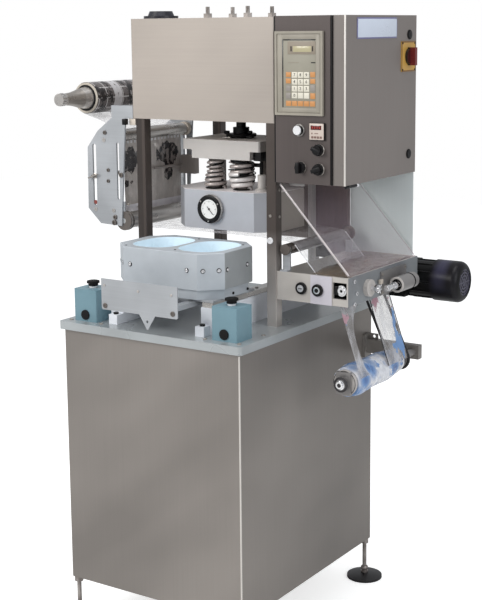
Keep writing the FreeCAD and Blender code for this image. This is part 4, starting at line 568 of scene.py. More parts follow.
# %% Dress the frame
parts_by_look = {
    "cabinet_steel": "base_cabinet", "table_steel": "table_top", "housing_steel": "top_housing",
    "control_steel": "control_cabinet", "door_steel": "side_door", "panel_steel": "control_panel",
    "post_steel": "post_front_left post_front_right post_rear_left", "column_brown": "rear_column",
    "wall_grey": "rear_wall", "pale_steel": "rear_panel", "box_enamel": "control_box_left control_box_right",
    "black_matte": "mushroom_button_left mushroom_button_right", "rail_white": "drawer_rails",
    "plate_steel": "drawer_carriage front_plate outfeed_brackets web_plate_front web_plate_rear web_mounts",
    "bright_metal": "rail_strips pressure_gauge unwind_shaft guide_rollers", "die_metal": "tray_die",
    "liner_white": "tray_liners", "head_metal": "head_block", "tie_metal": "press_platen",
    "dull_metal": "press_columns reel_arm", "black_satin": "press_rod panel_controls door_locks",
    "keypad_frame": "keypad_bezel", "label_yellow": "switch_plate", "handle_finish": "switch_handle",
    "cap_and_studs": "top_fittings", "roll_rows": "film_roll", "film_dark": "film_web",
    "turned_steel": "nip_rollers", "roller_polished": "outfeed_roller", "guard_clear": "outfeed_guard",
    "drive_frame_steel": "drive_frame", "fitting_bright": "drive_fittings", "belt_rubber": "drive_belt",
    "motor_black": "gear_motor", "clutch_grey": "slip_clutch waste_shaft", "bracket_grey": "reel_bracket",
    "waste_print": "waste_roll", "waste_skeleton": "waste_film", "sensor_grey": "film_sensor",
    "foot_pad_and_rod": "foot_front_left foot_front_right foot_rear_left foot_rear_right",
}
look_of = {part: look for look, parts in parts_by_look.items() for part in parts.split()}
for name, node in nodes.items():
    for place in node.material_slots:
        place.material = looks[look_of.get(name, "zinc_metal")]
print("parts without a finish:", sorted(set(nodes) - set(look_of)))

# %% [markdown]
# New pieces share a few making steps. A part is a small bmesh that stands at its place, and a
# piece joins parts. Each piece ends at the origin with its place in its mesh, and is told its
# finish and its body in one call. A profile is a list of (radius, distance along the axis), and
# one that starts off the axis is closed into a ring.

# %% Making helpers
def turned_by(angle, axis="Z"):
    return Matrix.Rotation(math.radians(angle), 4, axis)


AXIS_TURN = {"z": Matrix.Identity(4), "x": turned_by(90, "Y"), "-x": turned_by(-90, "Y"),
             "y": turned_by(-90, "X"), "-y": turned_by(90, "X")}


def facing(centre, axis):
    """A matrix that stands a part on a point in millimetres, its own Z along the axis."""
    if isinstance(axis, str):
        return Matrix.Translation(at(*centre)) @ AXIS_TURN[axis]
    return Matrix.Translation(at(*centre)) @ Vector(axis).to_track_quat("Z", "Y").to_matrix().to_4x4()


def stood(part, place):
    bmesh.ops.transform(part, matrix=place, verts=part.verts)
    return part


def spun(profile, centre, axis, steps=32):
    """Spin a profile in millimetres around an axis."""
    part = bmesh.new()
    if profile[0][0] > 0:
        profile = profile + profile[:1]
    dots = [part.verts.new((mm(radius), 0, mm(along))) for radius, along in profile]
    edges = [part.edges.new(pair) for pair in zip(dots, dots[1:])]
    bmesh.ops.spin(part, geom=dots + edges, cent=(0, 0, 0), axis=(0, 0, 1), angle=math.tau,
                   steps=steps, use_merge=True)
    bmesh.ops.remove_doubles(part, verts=part.verts, dist=0.00001)
    bmesh.ops.recalc_face_normals(part, faces=part.faces)
    return stood(part, facing(centre, axis))


def ring(inner, outer, height):
    return [(inner, 0), (outer, 0), (outer, height), (inner, height)]


def block(low, high, bevel, segments=2, place=None):
    """A bevelled block between two corners in millimetres, or between local corners at a place."""
    part = bmesh.new()
    low, high = Vector(low), Vector(high)
    middle = (low + high) / 2
    bmesh.ops.create_cube(part, size=1.0)
    bmesh.ops.scale(part, vec=(high - low) / 1000, verts=part.verts)
    if bevel > 0:
        bmesh.ops.bevel(part, geom=part.edges, offset=mm(bevel), offset_type="OFFSET", segments=segments,
                        profile=0.5, affect="EDGES", material=-1)
    if place is None:
        return stood(part, Matrix.Translation(at(*middle)))
    return stood(part, place @ Matrix.Translation(middle / 1000))


def screw(centre, radius, height, axis, socket=True):
    """A round screw head whose socket is pressed in from the top."""
    part = bmesh.new()
    bmesh.ops.create_circle(part, cap_ends=True, segments=16, radius=mm(radius))
    lift = bmesh.ops.extrude_face_region(part, geom=part.faces[:])["geom"]
    raised = [item for item in lift if isinstance(item, bmesh.types.BMVert)]
    cap = [item for item in lift if isinstance(item, bmesh.types.BMFace)]
    bmesh.ops.translate(part, vec=(0, 0, mm(height)), verts=raised)
    bmesh.ops.recalc_face_normals(part, faces=part.faces)
    bmesh.ops.inset_region(part, faces=cap, thickness=mm(radius * 0.16), depth=mm(radius * 0.10))
    if socket:
        bmesh.ops.inset_region(part, faces=cap, thickness=mm(radius * 0.34), depth=0)
        bmesh.ops.inset_region(part, faces=cap, thickness=mm(radius * 0.06), depth=mm(-height * 0.6))
    return stood(part, facing(centre, axis))


def told(name, mesh, look, body):
    """An object from a mesh, with its finish and the body that carries it."""
    mesh.materials.append(looks[look])
    piece = show(name, mesh)
    if body:
        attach(piece, body)
    return piece


def finished(name, look, shape, body="machine", smooth=30):
    """A piece from one bmesh, with edges sharp where its faces meet at more than an angle."""
    bmesh.ops.remove_doubles(shape, verts=shape.verts, dist=0.00002)
    bmesh.ops.recalc_face_normals(shape, faces=shape.faces)
    for edge in shape.edges:
        edge.smooth = len(edge.link_faces) == 2 and edge.calc_face_angle(3.2) < math.radians(smooth)
    for face in shape.faces:
        face.smooth = True
    mesh = bpy.data.meshes.new(name)
    shape.to_mesh(mesh)
    shape.free()
    return told(name, mesh, look, body)


def joined(name, look, parts, body="machine"):
    """A piece from several parts."""
    shape = bmesh.new()
    for part in parts:
        carrier = bpy.data.meshes.new("carrier")
        part.to_mesh(carrier)
        part.free()
        shape.from_mesh(carrier)
        bpy.data.meshes.remove(carrier)
    return finished(name, look, shape, body)


def turned(name, look, slot, profile, centre, axis, steps=40, body="machine"):
    return joined(name, look, [spun(profile, centre, axis, steps)], body)


def blocks(name, look, corners, bevel, segments=2, body="machine"):
    return joined(name, look, [block(low, high, bevel, segments) for low, high in corners], body)


def screws(name, look, places, radius, height, axis, body="machine", socket=True):
    return joined(name, look, [screw(place, radius, height, axis, socket) for place in places], body)


def mesh_of(name, data):
    """The mesh that a curve or a text makes."""
    holder = show(name, data)
    mesh = bpy.data.meshes.new_from_object(holder.evaluated_get(bpy.context.evaluated_depsgraph_get()))
    bpy.data.objects.remove(holder)
    return mesh


print("making helpers ready")

# %% [markdown]
# The press stands on four guide columns, and springs are seen round three of them. They bulge, so
# each has its radius at the foot, the middle and the top. A spring is one curve with a round
# section, so a helix of curve points with a bevel is the shortest way to it. The springs are
# between the tie plate and the head, which move together, so they ride with the press head.

# %% Column springs
LEFT, RIGHT, REAR = (-34, 16), (64, 16), (-34, 156)
COLUMN_BORE = 19.2
HEAD_TOP = 1304.2


def coil(name, middle, low, high, radii, turns, wire, look, steps=20):
    """A helix of round wire; radii are its radius at the foot, the middle and the top."""
    curve = bpy.data.curves.new(name, "CURVE")
    curve.dimensions = "3D"
    curve.bevel_depth = mm(wire)
    curve.bevel_resolution = 3
    curve.use_fill_caps = True
    count = int(turns * steps)
    spline = curve.splines.new("POLY")
    spline.points.add(count)
    foot, waist, head = radii
    for i in range(count + 1):
        part = i / count
        angle = part * turns * math.tau
        radius = foot + (waist - foot) * min(1, part * 2) + (head - waist) * max(0, part * 2 - 1)
        place = at(middle[0] + radius * math.cos(angle), middle[1] + radius * math.sin(angle),
                   low + (high - low) * part)
        spline.points[i].co = (*place, 1)
    mesh = mesh_of(name + "_curve", curve)
    mesh.name = name
    for face in mesh.polygons:
        face.use_smooth = True
    mesh.materials.clear()
    told(name, mesh, look, "press_head")


# Name, column, foot and top, radii, turns, thickness of the wire, finish.
for row in (
        ("spring_left_upper", LEFT, 1348, 1394, (23, 22, 22), 3.5, 4.4, "spring_steel"),
        ("spring_left_lower", LEFT, 1308, 1352, (30, 28, 25), 3.2, 5.4, "spring_steel"),
        ("spring_right_upper", RIGHT, 1350, 1390, (30, 33, 32), 2.6, 6.0, "spring_steel"),
        ("spring_right_lower", RIGHT, 1308, 1354, (25, 33, 36), 2.8, 6.9, "spring_pale"),
        ("spring_rear_left", REAR, 1308, 1394, (25, 24, 22), 6.5, 4.6, "spring_steel"),
        ("tie_wire_left", LEFT, 1316, 1392, (33, 28, 25), 2.3, 1.6, "black_satin"),
        ("tie_wire_right", RIGHT, 1330, 1388, (37, 41, 39), 2.6, 1.8, "black_satin")):
    coil(*row)
bands = [spun([(COLUMN_BORE, 0), (radius - 1.5, 0), (radius, 1.5), (radius, high - low - 1.5),
               (radius - 1.5, high - low), (COLUMN_BORE, high - low)],
              (*middle, low), (lean * 0.04, lean * 0.03, 1), 28)
         for middle, lean, low, high, radius in ((LEFT, 2, 1378, 1386, 24), (LEFT, -3, 1352, 1358, 25),
                                                 (RIGHT, 3, 1383, 1391, 35), (RIGHT, -4, 1350, 1357, 33),
                                                 (REAR, 0, 1386, 1394, 26))]
bands += [spun([(COLUMN_BORE, 0), (radius - 1, 0), (radius, 1), (radius, 2.6), (radius - 2, 3.6),
                (COLUMN_BORE, 3.6)], (*middle, HEAD_TOP), "z", 28)
          for middle, radius in ((LEFT, 31), (RIGHT, 28), (REAR, 28))]
joined("spring_bands", "black_satin", bands, "press_head")
blocks("wire_ends", "black_satin",
       [((96, 8, 1364), (108, 16, 1370)), ((101, 10, 1371), (106, 15, 1383)),
        ((96, 6, 1384), (112, 12, 1389)), ((-8, 4, 1330), (0, 10, 1335))], 1.6, 3, "press_head")
blocks("press_switch", "black_satin",
       [((122, -12, 1396), (150, 58, 1424)), ((90, 24, 1374), (123, 36, 1385))], 2.0, 3, "press_head")
turned("switch_rod", "black_satin", "fitting_black",
       [(0, 0), (5.5, 0), (5.5, 34), (4.2, 35), (4.2, 52), (0, 52)], (121, 34, 1352), "z", 24, "press_head")
turned("stop_bush", "platen_metal", "zinc_steel",
       [(0, 0), (19, 0), (19, 5), (17.5, 7), (13, 8), (12.5, 10), (12.5, 47), (11.4, 48.5), (0, 48.5)],
       (131, 20, 1304), "z", 32, "press_head")
blocks("clamp_collar", "bright_metal", [((-26, 36, 1456), (8, 42, 1460.5))], 2.0, 3,
       "press_head")
clamp = [spun([(24, 0), (46, 0), (47, 2), (47, 7), (45, 9), (30, 10), (24, 10)], (15, 86, 1459), "z", 32)]
clamp += [block(low, high, 2.0, 3)
          for low, high in (((54, 54, 1455.2), (70, 64, 1464)), ((64, 50, 1457), (78, 56, 1463)),
                            ((-34, 62, 1466), (-18, 74, 1476)), ((48, 70, 1468), (60, 82, 1478)))]
joined("rod_clamp", "black_satin", clamp, "press_head")
print("springs and switch ready")

# %% [markdown]
# The pressure gauge is a steel case with a dark rim, three small screws, a white dial with short
# marks and a thin needle that points to the lower right. Each is a shallow turned ring or a tiny
# block, because they are seen nearly face on. Plain marks are enough, so no words are needed.

# %% Pressure gauge
GAUGE_X, GAUGE_FRONT, GAUGE_Z = -11.3, -52, 1248.4
gauge = (GAUGE_X, GAUGE_FRONT, GAUGE_Z)


def dial_block(proud, angle, low, high, bevel):
    """A block on the dial that points away from its middle at an angle."""
    middle = facing((GAUGE_X, GAUGE_FRONT - proud, GAUGE_Z), "z")
    return block(low, high, bevel, place=middle @ turned_by(angle, "Y"))


turned("gauge_rim", "black_satin", "fitting_black",
       [(29, 0), (42.4, 0), (43, 0.6), (42.2, 2.4), (40, 3.4), (32, 3.4), (29.6, 2.4), (29, 1.4)],
       gauge, "-y", 48, "press_head")
turned("gauge_dial", "dial_white", "rail_white", [(0, 0), (29.2, 0), (29.2, 1.1), (28.8, 1.4), (0, 1.4)],
       gauge, "-y", 48, "press_head")
marks = []
for step in range(31):
    inner, wide = (20.4, 0.5) if step % 5 == 0 else (22.8, 0.25)
    marks.append(dial_block(1.5, step * 9 - 225, (inner, -0.3, -wide), (25.4, 0.3, wide), 0))
joined("gauge_marks", "black_matte", marks, "press_head")
joined("gauge_needle", "black_matte",
       [dial_block(2.4, 48, (-10, -0.5, -1.0), (21, 0.5, 1.0), 0.3),
        spun([(0, 0), (3.2, 0), (3.2, 1.4), (2.6, 2.0), (0, 2.0)],
             (GAUGE_X, GAUGE_FRONT - 1.4, GAUGE_Z), "-y", 20)], "press_head")
screws("gauge_screws", "bright_metal",
       [(GAUGE_X + 37.0 * math.cos(angle), GAUGE_FRONT - 3.2, GAUGE_Z + 37.0 * math.sin(angle))
        for angle in map(math.radians, (28, 143, 267))], 2.4, 1.4, "-y", "press_head")
print("gauge at", gauge)

# %% [markdown]
# Screws tell the eye how large a machine is. These are on the drawer's front plate, round the tray
# die, on the rails and end stops and at the rim of the table, most with a socket. Those in sight
# were placed by their pixels, and the others mirror them where the machine is symmetrical.

# %% Screws of the drawer and the table
PLATE_FRONT = -423
DIE_FRONT, DIE_REAR, DIE_LEFT, DIE_RIGHT, DIE_SCREW_Z = -332, -80, -177, 197, 1116
DIE_TOP, TABLE_TOP = 1165.0, 934
screws("plate_screws_small", "bright_metal",
       [(x, PLATE_FRONT, z) for x, z in ((-119.1, 1066.8), (2.2, 1061.0), (117.9, 1061.7))],
       3.6, 1.6, "-y", "drawer", socket=False)
screws("plate_screws_large", "dull_metal",
       [(x, PLATE_FRONT, z) for x, z in ((-117.5, 1007.9), (121.8, 1009.6))], 7.6, 1.9, "-y", "drawer")
front_seats = [(x, DIE_FRONT, DIE_SCREW_Z) for x in (-96.7, 105.2)]
rear_seats = [(x, DIE_REAR, DIE_SCREW_Z) for x in (-85.0, 105.2)]
right_seats = [(DIE_RIGHT, y, DIE_SCREW_Z) for y in (-264, -163)]
left_seats = [(DIE_LEFT, y, DIE_SCREW_Z) for y in (-264, -163)]
corner_seats = [((10 + side * (131 + along), -206 + depth * (126 - along), DIE_SCREW_Z), (side, depth, 0))
                for side, depth in ((1, -1), (-1, -1), (1, 1), (-1, 1)) for along in (11.5, 44.0)]
for name, seats, axis in (("front", front_seats, "-y"), ("rear", rear_seats, "y"),
                          ("right", right_seats, "x"), ("left", left_seats, "-x")):
    screws("die_screws_" + name, "chrome_metal", seats, 5.2, 2.4, axis, "drawer")
joined("die_screws_corners", "chrome_metal",
       [screw(centre, 5.2, 2.4, axis) for centre, axis in corner_seats], "drawer")
all_seats = [(seat, axis) for seats, axis in ((front_seats, "-y"), (right_seats, "x"), (left_seats, "-x"))
             for seat in seats] + corner_seats
# Black rings round the die screws are painted shadow.
joined("die_screw_shadow_rings", "black_satin",
       [spun(ring(5.3, 7.0, 0.5), centre, axis, 20) for centre, axis in all_seats], "drawer")
screws("die_top_screws", "black_satin",
       [(x, y, DIE_TOP) for x, y in ((-127.8, -309.6), (42.9, -301.4), (-10, -110), (164.2, -133.9))],
       3.4, 1.0, "z", "drawer")
screws("die_base_screws", "black_satin", [(188, -224, 1041.5), (188, -150, 1041.5)], 4.0, 2.5, "x", "drawer")
screws("stop_screws", "black_satin", [(-155, -330, 962), (155, -330, 962)], 8.0, 5.0, "z")
screws("rail_screws", "zinc_metal", [(x, y, 1026) for x in (-162, 162) for y in (-285, -60, 120, 235)],
       5.0, 2.0, "z")
screws("table_screws", "zinc_metal",
       [(x, -362, TABLE_TOP) for x in (-300, -186, 186, 300)]
       + [(x, y, TABLE_TOP) for x in (-300, 300) for y in (-240, 362)] + [(0, 362, TABLE_TOP)], 6.0, 2.2, "z")
print("screws placed")

# %% [markdown]
# The keypad is a membrane under a plastic frame. Its face has a display at the top and pads in
# cream, orange and grey below. On the real part the pads stand proud by a fraction of a
# millimetre, so each is a low bevelled block. Plain digits suit the number pads, and the rest of
# the face stays bare.

# %% Keypad
FACE_Y = -137.0
PAD_X, PAD_PITCH, PAD_ROWS = 343.0, 19.2, (1656.5, 1637.5, 1618.8, 1600.0)


def keypad_blocks(name, look, proud, deep, areas, bevel):
    """Low blocks on the keypad's face; an area is ((x, z), (x, z)) and deep lies behind proud."""
    corners = [((low[0], FACE_Y - proud, low[1]), (high[0], FACE_Y - deep, high[1])) for low, high in areas]
    blocks(name, look, corners, bevel)


def pad(x, z, half_high=8.0, half_wide=8.6):
    return (x - half_wide, z - half_high), (x + half_wide, z + half_high)


# Name, finish, how far it stands before and behind the face, areas, bevel.
for row in (
        ("keypad_border", "keypad_frame", 1.8, -0.2,
         (((287.5, 1553.5), (303.4, 1767.5)), ((411.2, 1553.5), (424.5, 1767.5)),
          ((303, 1553.5), (411.6, 1566)), ((303, 1754), (411.6, 1767.5))), 0.6),
        ("keypad_sheet", "keypad_face", 0.6, -0.3, (((303.6, 1566.4), (411.0, 1753.6)),), 0.3),
        # Dark strips along the left and top inside the keypad frame are painted shadow.
        ("keypad_recess", "display_glass", 1.0, 0.3,
         (((303.7, 1566.6), (306.6, 1753.4)), ((306, 1750.8), (410.8, 1753.4))), 0.2),
        ("keypad_window_frame", "keypad_trim", 1.5, 0.4, (((321, 1713), (409.6, 1748)),), 0.4),
        ("keypad_window", "display_pale", 2.2, 1.3, (((339, 1719), (397, 1735)),), 0.3),
        ("keypad_window_line", "keypad_trim", 1.1, 0.5, (((321, 1689.6), (356, 1690.8)),), 0.2),
        ("keypad_numbers", "key_cream", 1.8, 0.5,
         [pad(PAD_X + column * PAD_PITCH, z) for z in PAD_ROWS for column in range(3)], 0.5),
        ("keypad_orange", "key_orange", 1.6, 0.5,
         [((315, 1650.5), (331.5, 1664)), ((315, 1633), (331.5, 1646.5)), ((393.5, 1650.5), (409.5, 1665)),
          ((393.5, 1633), (409.5, 1646.5)), ((393.5, 1591), (409.5, 1607))]
         + [pad(323.6 + column * PAD_PITCH, 1577.75, 7.25) for column in range(5)], 0.5),
        ("keypad_grey", "key_grey", 1.6, 0.5,
         (((315, 1611.5), (331, 1627)), ((315, 1591), (331, 1607)), ((393.5, 1611.5), (409.5, 1629))), 0.5)):
    keypad_blocks(*row)
blocks("keypad_window_bars", "black_matte",
       [((x, FACE_Y - 2.0, 1721), (x + 3, FACE_Y - 1.3, 1735)) for x in (331, 400)]
       + [((396, FACE_Y - 1.1, 1689), (409.6, FACE_Y - 0.5, 1691.6))], 0.2)


def digits(name, look, words, size, depth=0.4):
    """Plain digits as mesh, each centred on its own place and facing the front."""
    letters = []
    for word, place in words:
        text = bpy.data.curves.new(name, "FONT")
        text.body = word
        text.size = mm(size)
        text.align_x = text.align_y = "CENTER"
        text.extrude = mm(depth / 2)
        text.resolution_u = 3
        mesh = mesh_of(name, text)
        letter = bmesh.new()
        letter.from_mesh(mesh)
        bpy.data.meshes.remove(mesh)
        bmesh.ops.remove_doubles(letter, verts=letter.verts, dist=0.000001)
        letters.append(stood(letter, Matrix.Translation(at(*place)) @ turned_by(90, "X")))
    joined(name, look, letters)


digits("keypad_digits", "black_matte",
       [(letter, (PAD_X + column * PAD_PITCH, FACE_Y - 1.9, z))
        for letters, z in zip(("789", "456", "123", "0"), PAD_ROWS)
        for column, letter in enumerate(letters)], 12)
print("keypad pads: 12 cream, 10 orange, 3 grey")

# %% [markdown]
# Under the keypad sit a white push button, a small digital meter and three black knobs. A knob is
# a turned skirt in a bright ring with a grip bar across it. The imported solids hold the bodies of
# these, so the pieces here are the rings, caps and faces that give them their colours.

# %% Panel controls
PANEL_Y = -132
BUTTON = (354, PANEL_Y, 1504)
turned("white_button", "white_plastic", "fitting_black",
       [(0, 0), (13.2, 0), (13.2, 12.6), (12.4, 14.0), (11.2, 14.6), (10.4, 13.9), (4.0, 13.7), (0, 13.7)],
       BUTTON, "-y")
turned("white_button_ring", "bright_metal", "zinc_steel",
       [(14.7, 0), (17.6, 0), (17.4, 2.2), (16.4, 3.3), (14.7, 3.3)], BUTTON, "-y")
blocks("meter_face", "meter_pale",
       [((391.4, PANEL_Y - 8.6, 1479.4), (436.6, PANEL_Y - 5.4, 1524.6))], 1.2)
blocks("meter_window", "meter_red",
       [((396, PANEL_Y - 9.3, 1507), (430, PANEL_Y - 8.3, 1519))], 0.4)
digits("meter_digits", "meter_glow", [("0", (402 + 7.5 * i, PANEL_Y - 9.4, 1513)) for i in range(4)], 8, 0.3)
blocks("meter_keys", "meter_brown",
       [((x, PANEL_Y - 9.6, 1483.5), (x + 6.6, PANEL_Y - 8.3, 1489.5)) for x in (398, 407, 416, 425)]
       + [((398, PANEL_Y - 9.2, 1495), (402, PANEL_Y - 8.3, 1499)),
          ((408, PANEL_Y - 9.2, 1496), (420, PANEL_Y - 8.3, 1498))], 0.4)
knobs = {"upper": (418, 1451, 24), "lower_right": (418, 1397, -20), "lower_left": (359, 1400, 90)}
for name, (x, z, angle) in knobs.items():
    turned("knob_ring_" + name, "zinc_metal", "zinc_steel",
           [(13.3, 0), (17.2, 0), (17.4, 1.4), (16.8, 2.6), (15.6, 3.4), (13.3, 3.4)], (x, PANEL_Y, z), "-y")
    joined("knob_grip_" + name, "black_satin",
           [block((-15.4, -5.0, -5.6), (15.4, 9.0, 5.6), 2.0, 3,
                  facing((x, PANEL_Y - 19, z), "z") @ turned_by(angle, "Y")),
            spun([(0, 3.4), (16.2, 3.4), (16.6, 4.2), (16, 8.6), (14.6, 10), (0, 10.4)],
                 (x, PANEL_Y, z), "-y")])
print("controls", sorted(knobs))

# %% [markdown]
# The side door carries a bare label plate, two lock inserts and the main switch. A pale strip along
# its folded front edge is a painted highlight. Black strips fill the gaps at both sides of the
# control panel as painted shade.

# %% Side door and seams
DOOR_X = 496.5
LOCK_Y, LOCKS_Z = 258, (1412, 1762)
blocks("label_plate", "label_border",
       [((DOOR_X - 0.2, -62, 1753), (DOOR_X + 1.2, 177, 1811.5))], 0.5, body="side_door")
blocks("label_field", "label_white",
       [((DOOR_X + 0.9, -58, 1757), (DOOR_X + 1.8, 173, 1807.5))], 0.4, body="side_door")
screws("label_rivets", "zinc_metal", [(DOOR_X + 1.2, y, z) for y in (-59, 174) for z in (1756, 1808.5)],
       1.8, 0.9, "x", "side_door", socket=False)
blocks("lock_slots", "black_satin",
       [((DOOR_X + 3.4, LOCK_Y - 0.8, z - 5), (DOOR_X + 4.4, LOCK_Y + 0.8, z + 5)) for z in LOCKS_Z],
       0.3, body="side_door")
joined("lock_rings", "black_matte",
       [spun([(10.2, 0), (14.2, 0), (14.2, 1.8), (13.0, 3.0), (10.2, 3.2)], (DOOR_X, LOCK_Y, z), "x", 36)
        for z in LOCKS_Z], "side_door")
# A pale strip along the door's front edge is a painted highlight.
blocks("door_edge_highlight", "corner_light",
       [((DOOR_X - 1.2, -131.3, 1354.3), (DOOR_X + 4.3, -129.6, 1817.7))], 0.3, body="side_door")
# Black strips in the gaps beside the control panel are painted shade.
blocks("panel_gap_shade", "black_matte",
       [((453.2, -131.2, 1354.5), (458.2, -125.6, 1817.5)),
        ((272.2, -131.4, 1354.5), (276.6, -126, 1817.5))], 0.6)
blocks("switch_plate_border", "plate_border",
       [((499.0, y, 1655.2), (499.8, y + 3.4, 1742.8)) for y in (204.4, 290.2)]
       + [((499.0, 204.4, z), (499.8, 293.6, z + 3.4)) for z in (1655.4, 1739.2)], 0.3, body="side_door")
screws("switch_screws", "black_satin", [(499.6, y, z) for y in (210, 288) for z in (1661, 1737)],
       2.6, 1.2, "x", "side_door")
print("door pieces ready")

# %% [markdown]
# The feeding side shows two slotted plates with socket screws, a wing screw in the long slot and
# bright ends of the guide bars. They are what lets an operator thread the film and set its path,
# so they are worth the effort, even as small as they are.

# %% Screws of the slotted plates
WEB_FRONT, WEB_REAR = -133, 224
WING = (-387, WEB_FRONT, 1337)
web_faces = ((WEB_FRONT, "-y"), (WEB_REAR, "y"))
joined("web_screws", "dull_metal",
       [screw((x, y, z), radius, radius * 0.55, axis)
        for x, z, radius in ((-342, 1473, 6.4), (-332, 1358, 5.6), (-333, 1324, 5.6), (-281, 1345, 7.4),
                             (-309, 1213, 7.0), (-311.5, 1196, 8.6)) for y, axis in web_faces])
joined("web_bar_ends", "bright_metal",
       [spun([(0, 0), (6.6, 0), (6.6, 1), (5.6, 1.8), (2.2, 1.8), (1.8, 0.9), (0, 0.9)], (x, y, z), axis, 24)
        for x, z in ((-347, 1450), (-386, 1233), (-314.6, 1233)) for y, axis in web_faces])
joined("web_wing_screw", "zinc_metal",
       [spun([(0, 0), (8.5, 0), (8.5, 2), (6, 3), (5.2, 12), (3.8, 14), (0, 14)], WING, "-y", 24)]
       + [block((2, -2, -13.5), (20, 2, -5), 1.6, 3,
                facing(WING, "-y") @ turned_by(angle) @ turned_by(180, "X")) for angle in (200, 20)])
turned("web_slot_plug", "seal_red", "roller_rubber", [(0, 0), (6.6, 0), (6.6, 1.2), (5.4, 2.2), (0, 2.4)],
       (-387, WEB_FRONT + 2, 1255), "-y", 24)
blocks("web_clamp", "black_satin", [((-262, -150, 1500), (-249, -133.2, 1518.6))], 2.5, 3)
blocks("web_clamp_pad", "cream_metal", [((-248, -131, 1499), (-224, -112, 1518.8))], 1.5)
blocks("web_plate_flange", "plate_steel", [((-282.6, -127.2, 1190), (-276, -122, 1262))], 0.5)
turned("pinch_roller_collar", "cream_metal", "zinc_steel",
       [(18.1, 0), (21, 0), (21.6, 1), (21.6, 15), (21, 16), (18.1, 16)], (-288, 200, 1465), "y")
print("feeding side ready")

# %% [markdown]
# The film runs from its roll over the pinch rollers, down beside the slotted plates, under the
# head and out over the last roller. Each run is a grid that follows a short list of points in the
# X-Z plane and spans the film's width, with low waves that fade out at the rollers. The two runs
# beside the head lead to the level under it, where the head presses the film down by 15 mm.

# %% Film runs
def film_shade(name, tint, alpha, folds=0.5, roughness=0.2, fold_scale=24.0, stretch=(1, 1, 1)):
    """Clear film: low alpha that rises where a fold catches light."""
    finish = Finish(name, tint, roughness)
    crease = finish.noise(fold_scale, 5.0, stretch, 0.6)
    finish.feed(finish.ramp(crease, [(0.35, screen(tint, 0.8)), (0.62, screen(tint))]),
                finish.spread(crease, roughness * 0.6, roughness * 1.5),
                finish.spread(crease, alpha * 0.45, min(1.0, alpha * 1.7)))
    finish.bump(crease, folds, 0.005)


def motif_shade():
    """Dark rosettes in rows on a pale brown ground, with one dashed white line above them."""
    finish = Finish("film_motif", (190, 181, 174), 0.24)
    y, z = finish.axes()[1:3]
    ripple = finish.noise(26.0, 5.0, (1, 1, 0.5), 0.6)
    fine = finish.noise(52.0, 4.0, (1, 1, 0.6), 0.65)
    edge, flatter = 9.0, 1.4
    for middle_y, middle_z, less in ((0.138, 1.394, 0), (-0.070, 1.386, 0), (0.134, 1.322, 0.034),
                                     (-0.074, 1.312, 0.034)):
        away = finish.node("VectorMath", {0: finish.mapped((0, 1.0, flatter)),
                                          1: (0, middle_y, middle_z * flatter)}, operation="DISTANCE")
        edge = finish.maths("MINIMUM", finish.maths("ADD", away.outputs["Value"], less), edge)
    edge = finish.maths("ADD", edge, finish.times(finish.maths("SUBTRACT", ripple, 0.5), 0.09))
    rosette = finish.below(edge, 0.055)
    stroke = finish.times(finish.above(fine, 0.54), finish.below(edge, 0.050))
    line = finish.times(finish.above(z, 1.436), finish.below(z, 1.448))
    dash = finish.above(finish.maths("SINE", finish.times(y, 360.0)), -0.2)
    ground = finish.mixed(finish.below(z, 1.244), finish.fade(ripple, (176, 166, 158), (220, 212, 206)),
                          screen((246, 242, 246)))
    ink = finish.mixed(stroke, screen((40, 34, 35)), screen((150, 142, 138)))
    printed = finish.mixed(rosette, ground, ink)
    finish.feed(finish.mixed(finish.times(line, dash), printed, screen((244, 242, 244))),
                finish.spread(ripple, 0.14, 0.34),
                finish.maths("MAXIMUM", finish.times(rosette, 0.95), finish.spread(ripple, 0.72, 0.95)))
    finish.bump(ripple, 0.35, 0.004)


film_shade("film_clear", (226, 224, 228), 0.16)
film_shade("film_feed_shade", (250, 249, 252), 0.30, 0.5, 0.24)
film_shade("film_pressed", (226, 220, 222), 0.22, 0.7, 0.2, 34.0)
film_shade("film_heap", (134, 121, 107), 0.85, 1.6, 0.16, 15.0, (1, 0.4, 1))
motif_shade()


def arc(centre, radius, start, end, steps=5):
    """Points round a roller, from one angle to another in degrees."""
    angles = [math.radians(start + (end - start) * i / steps) for i in range(steps + 1)]
    return [(centre[0] + radius * math.cos(angle), centre[1] + radius * math.sin(angle)) for angle in angles]


def straight(first, last, steps):
    return [tuple(a + (b - a) * i / steps for a, b in zip(first, last)) for i in range(steps + 1)]


def sheet(name, look, shape, body="machine"):
    """A piece of film from a bent grid; its folds stay smooth."""
    bmesh.ops.solidify(shape, geom=shape.faces[:], thickness=mm(0.3))
    return finished(name, look, shape, body, 80)


def film_run(name, look, route, body="machine", lift=0.0, waves=3.0, across=14):
    """A thin grid along a route of (x, z), with waves of a given lift that fade at both ends."""
    shape = bmesh.new()
    last = len(route) - 1
    bmesh.ops.create_grid(shape, x_segments=last, y_segments=across, size=0.5)
    for vert in shape.verts:
        step = round((vert.co.x + 0.5) * last)
        side = vert.co.y + 0.5
        before, after = route[max(0, step - 1)], route[min(last, step + 1)]
        run = Vector((after[0] - before[0], after[1] - before[1])).normalized()
        wave = math.sin(side * math.tau * waves + step * 0.55) + 0.5 * math.sin(side * 13.0 - step * 0.9)
        rise = lift * math.sin(math.pi * step / last) * wave
        x, z = route[step]
        vert.co = at(x - run.y * rise, FILM_FRONT + (FILM_REAR - FILM_FRONT) * side, z + run.x * rise)
    return sheet(name, look, shape, body)


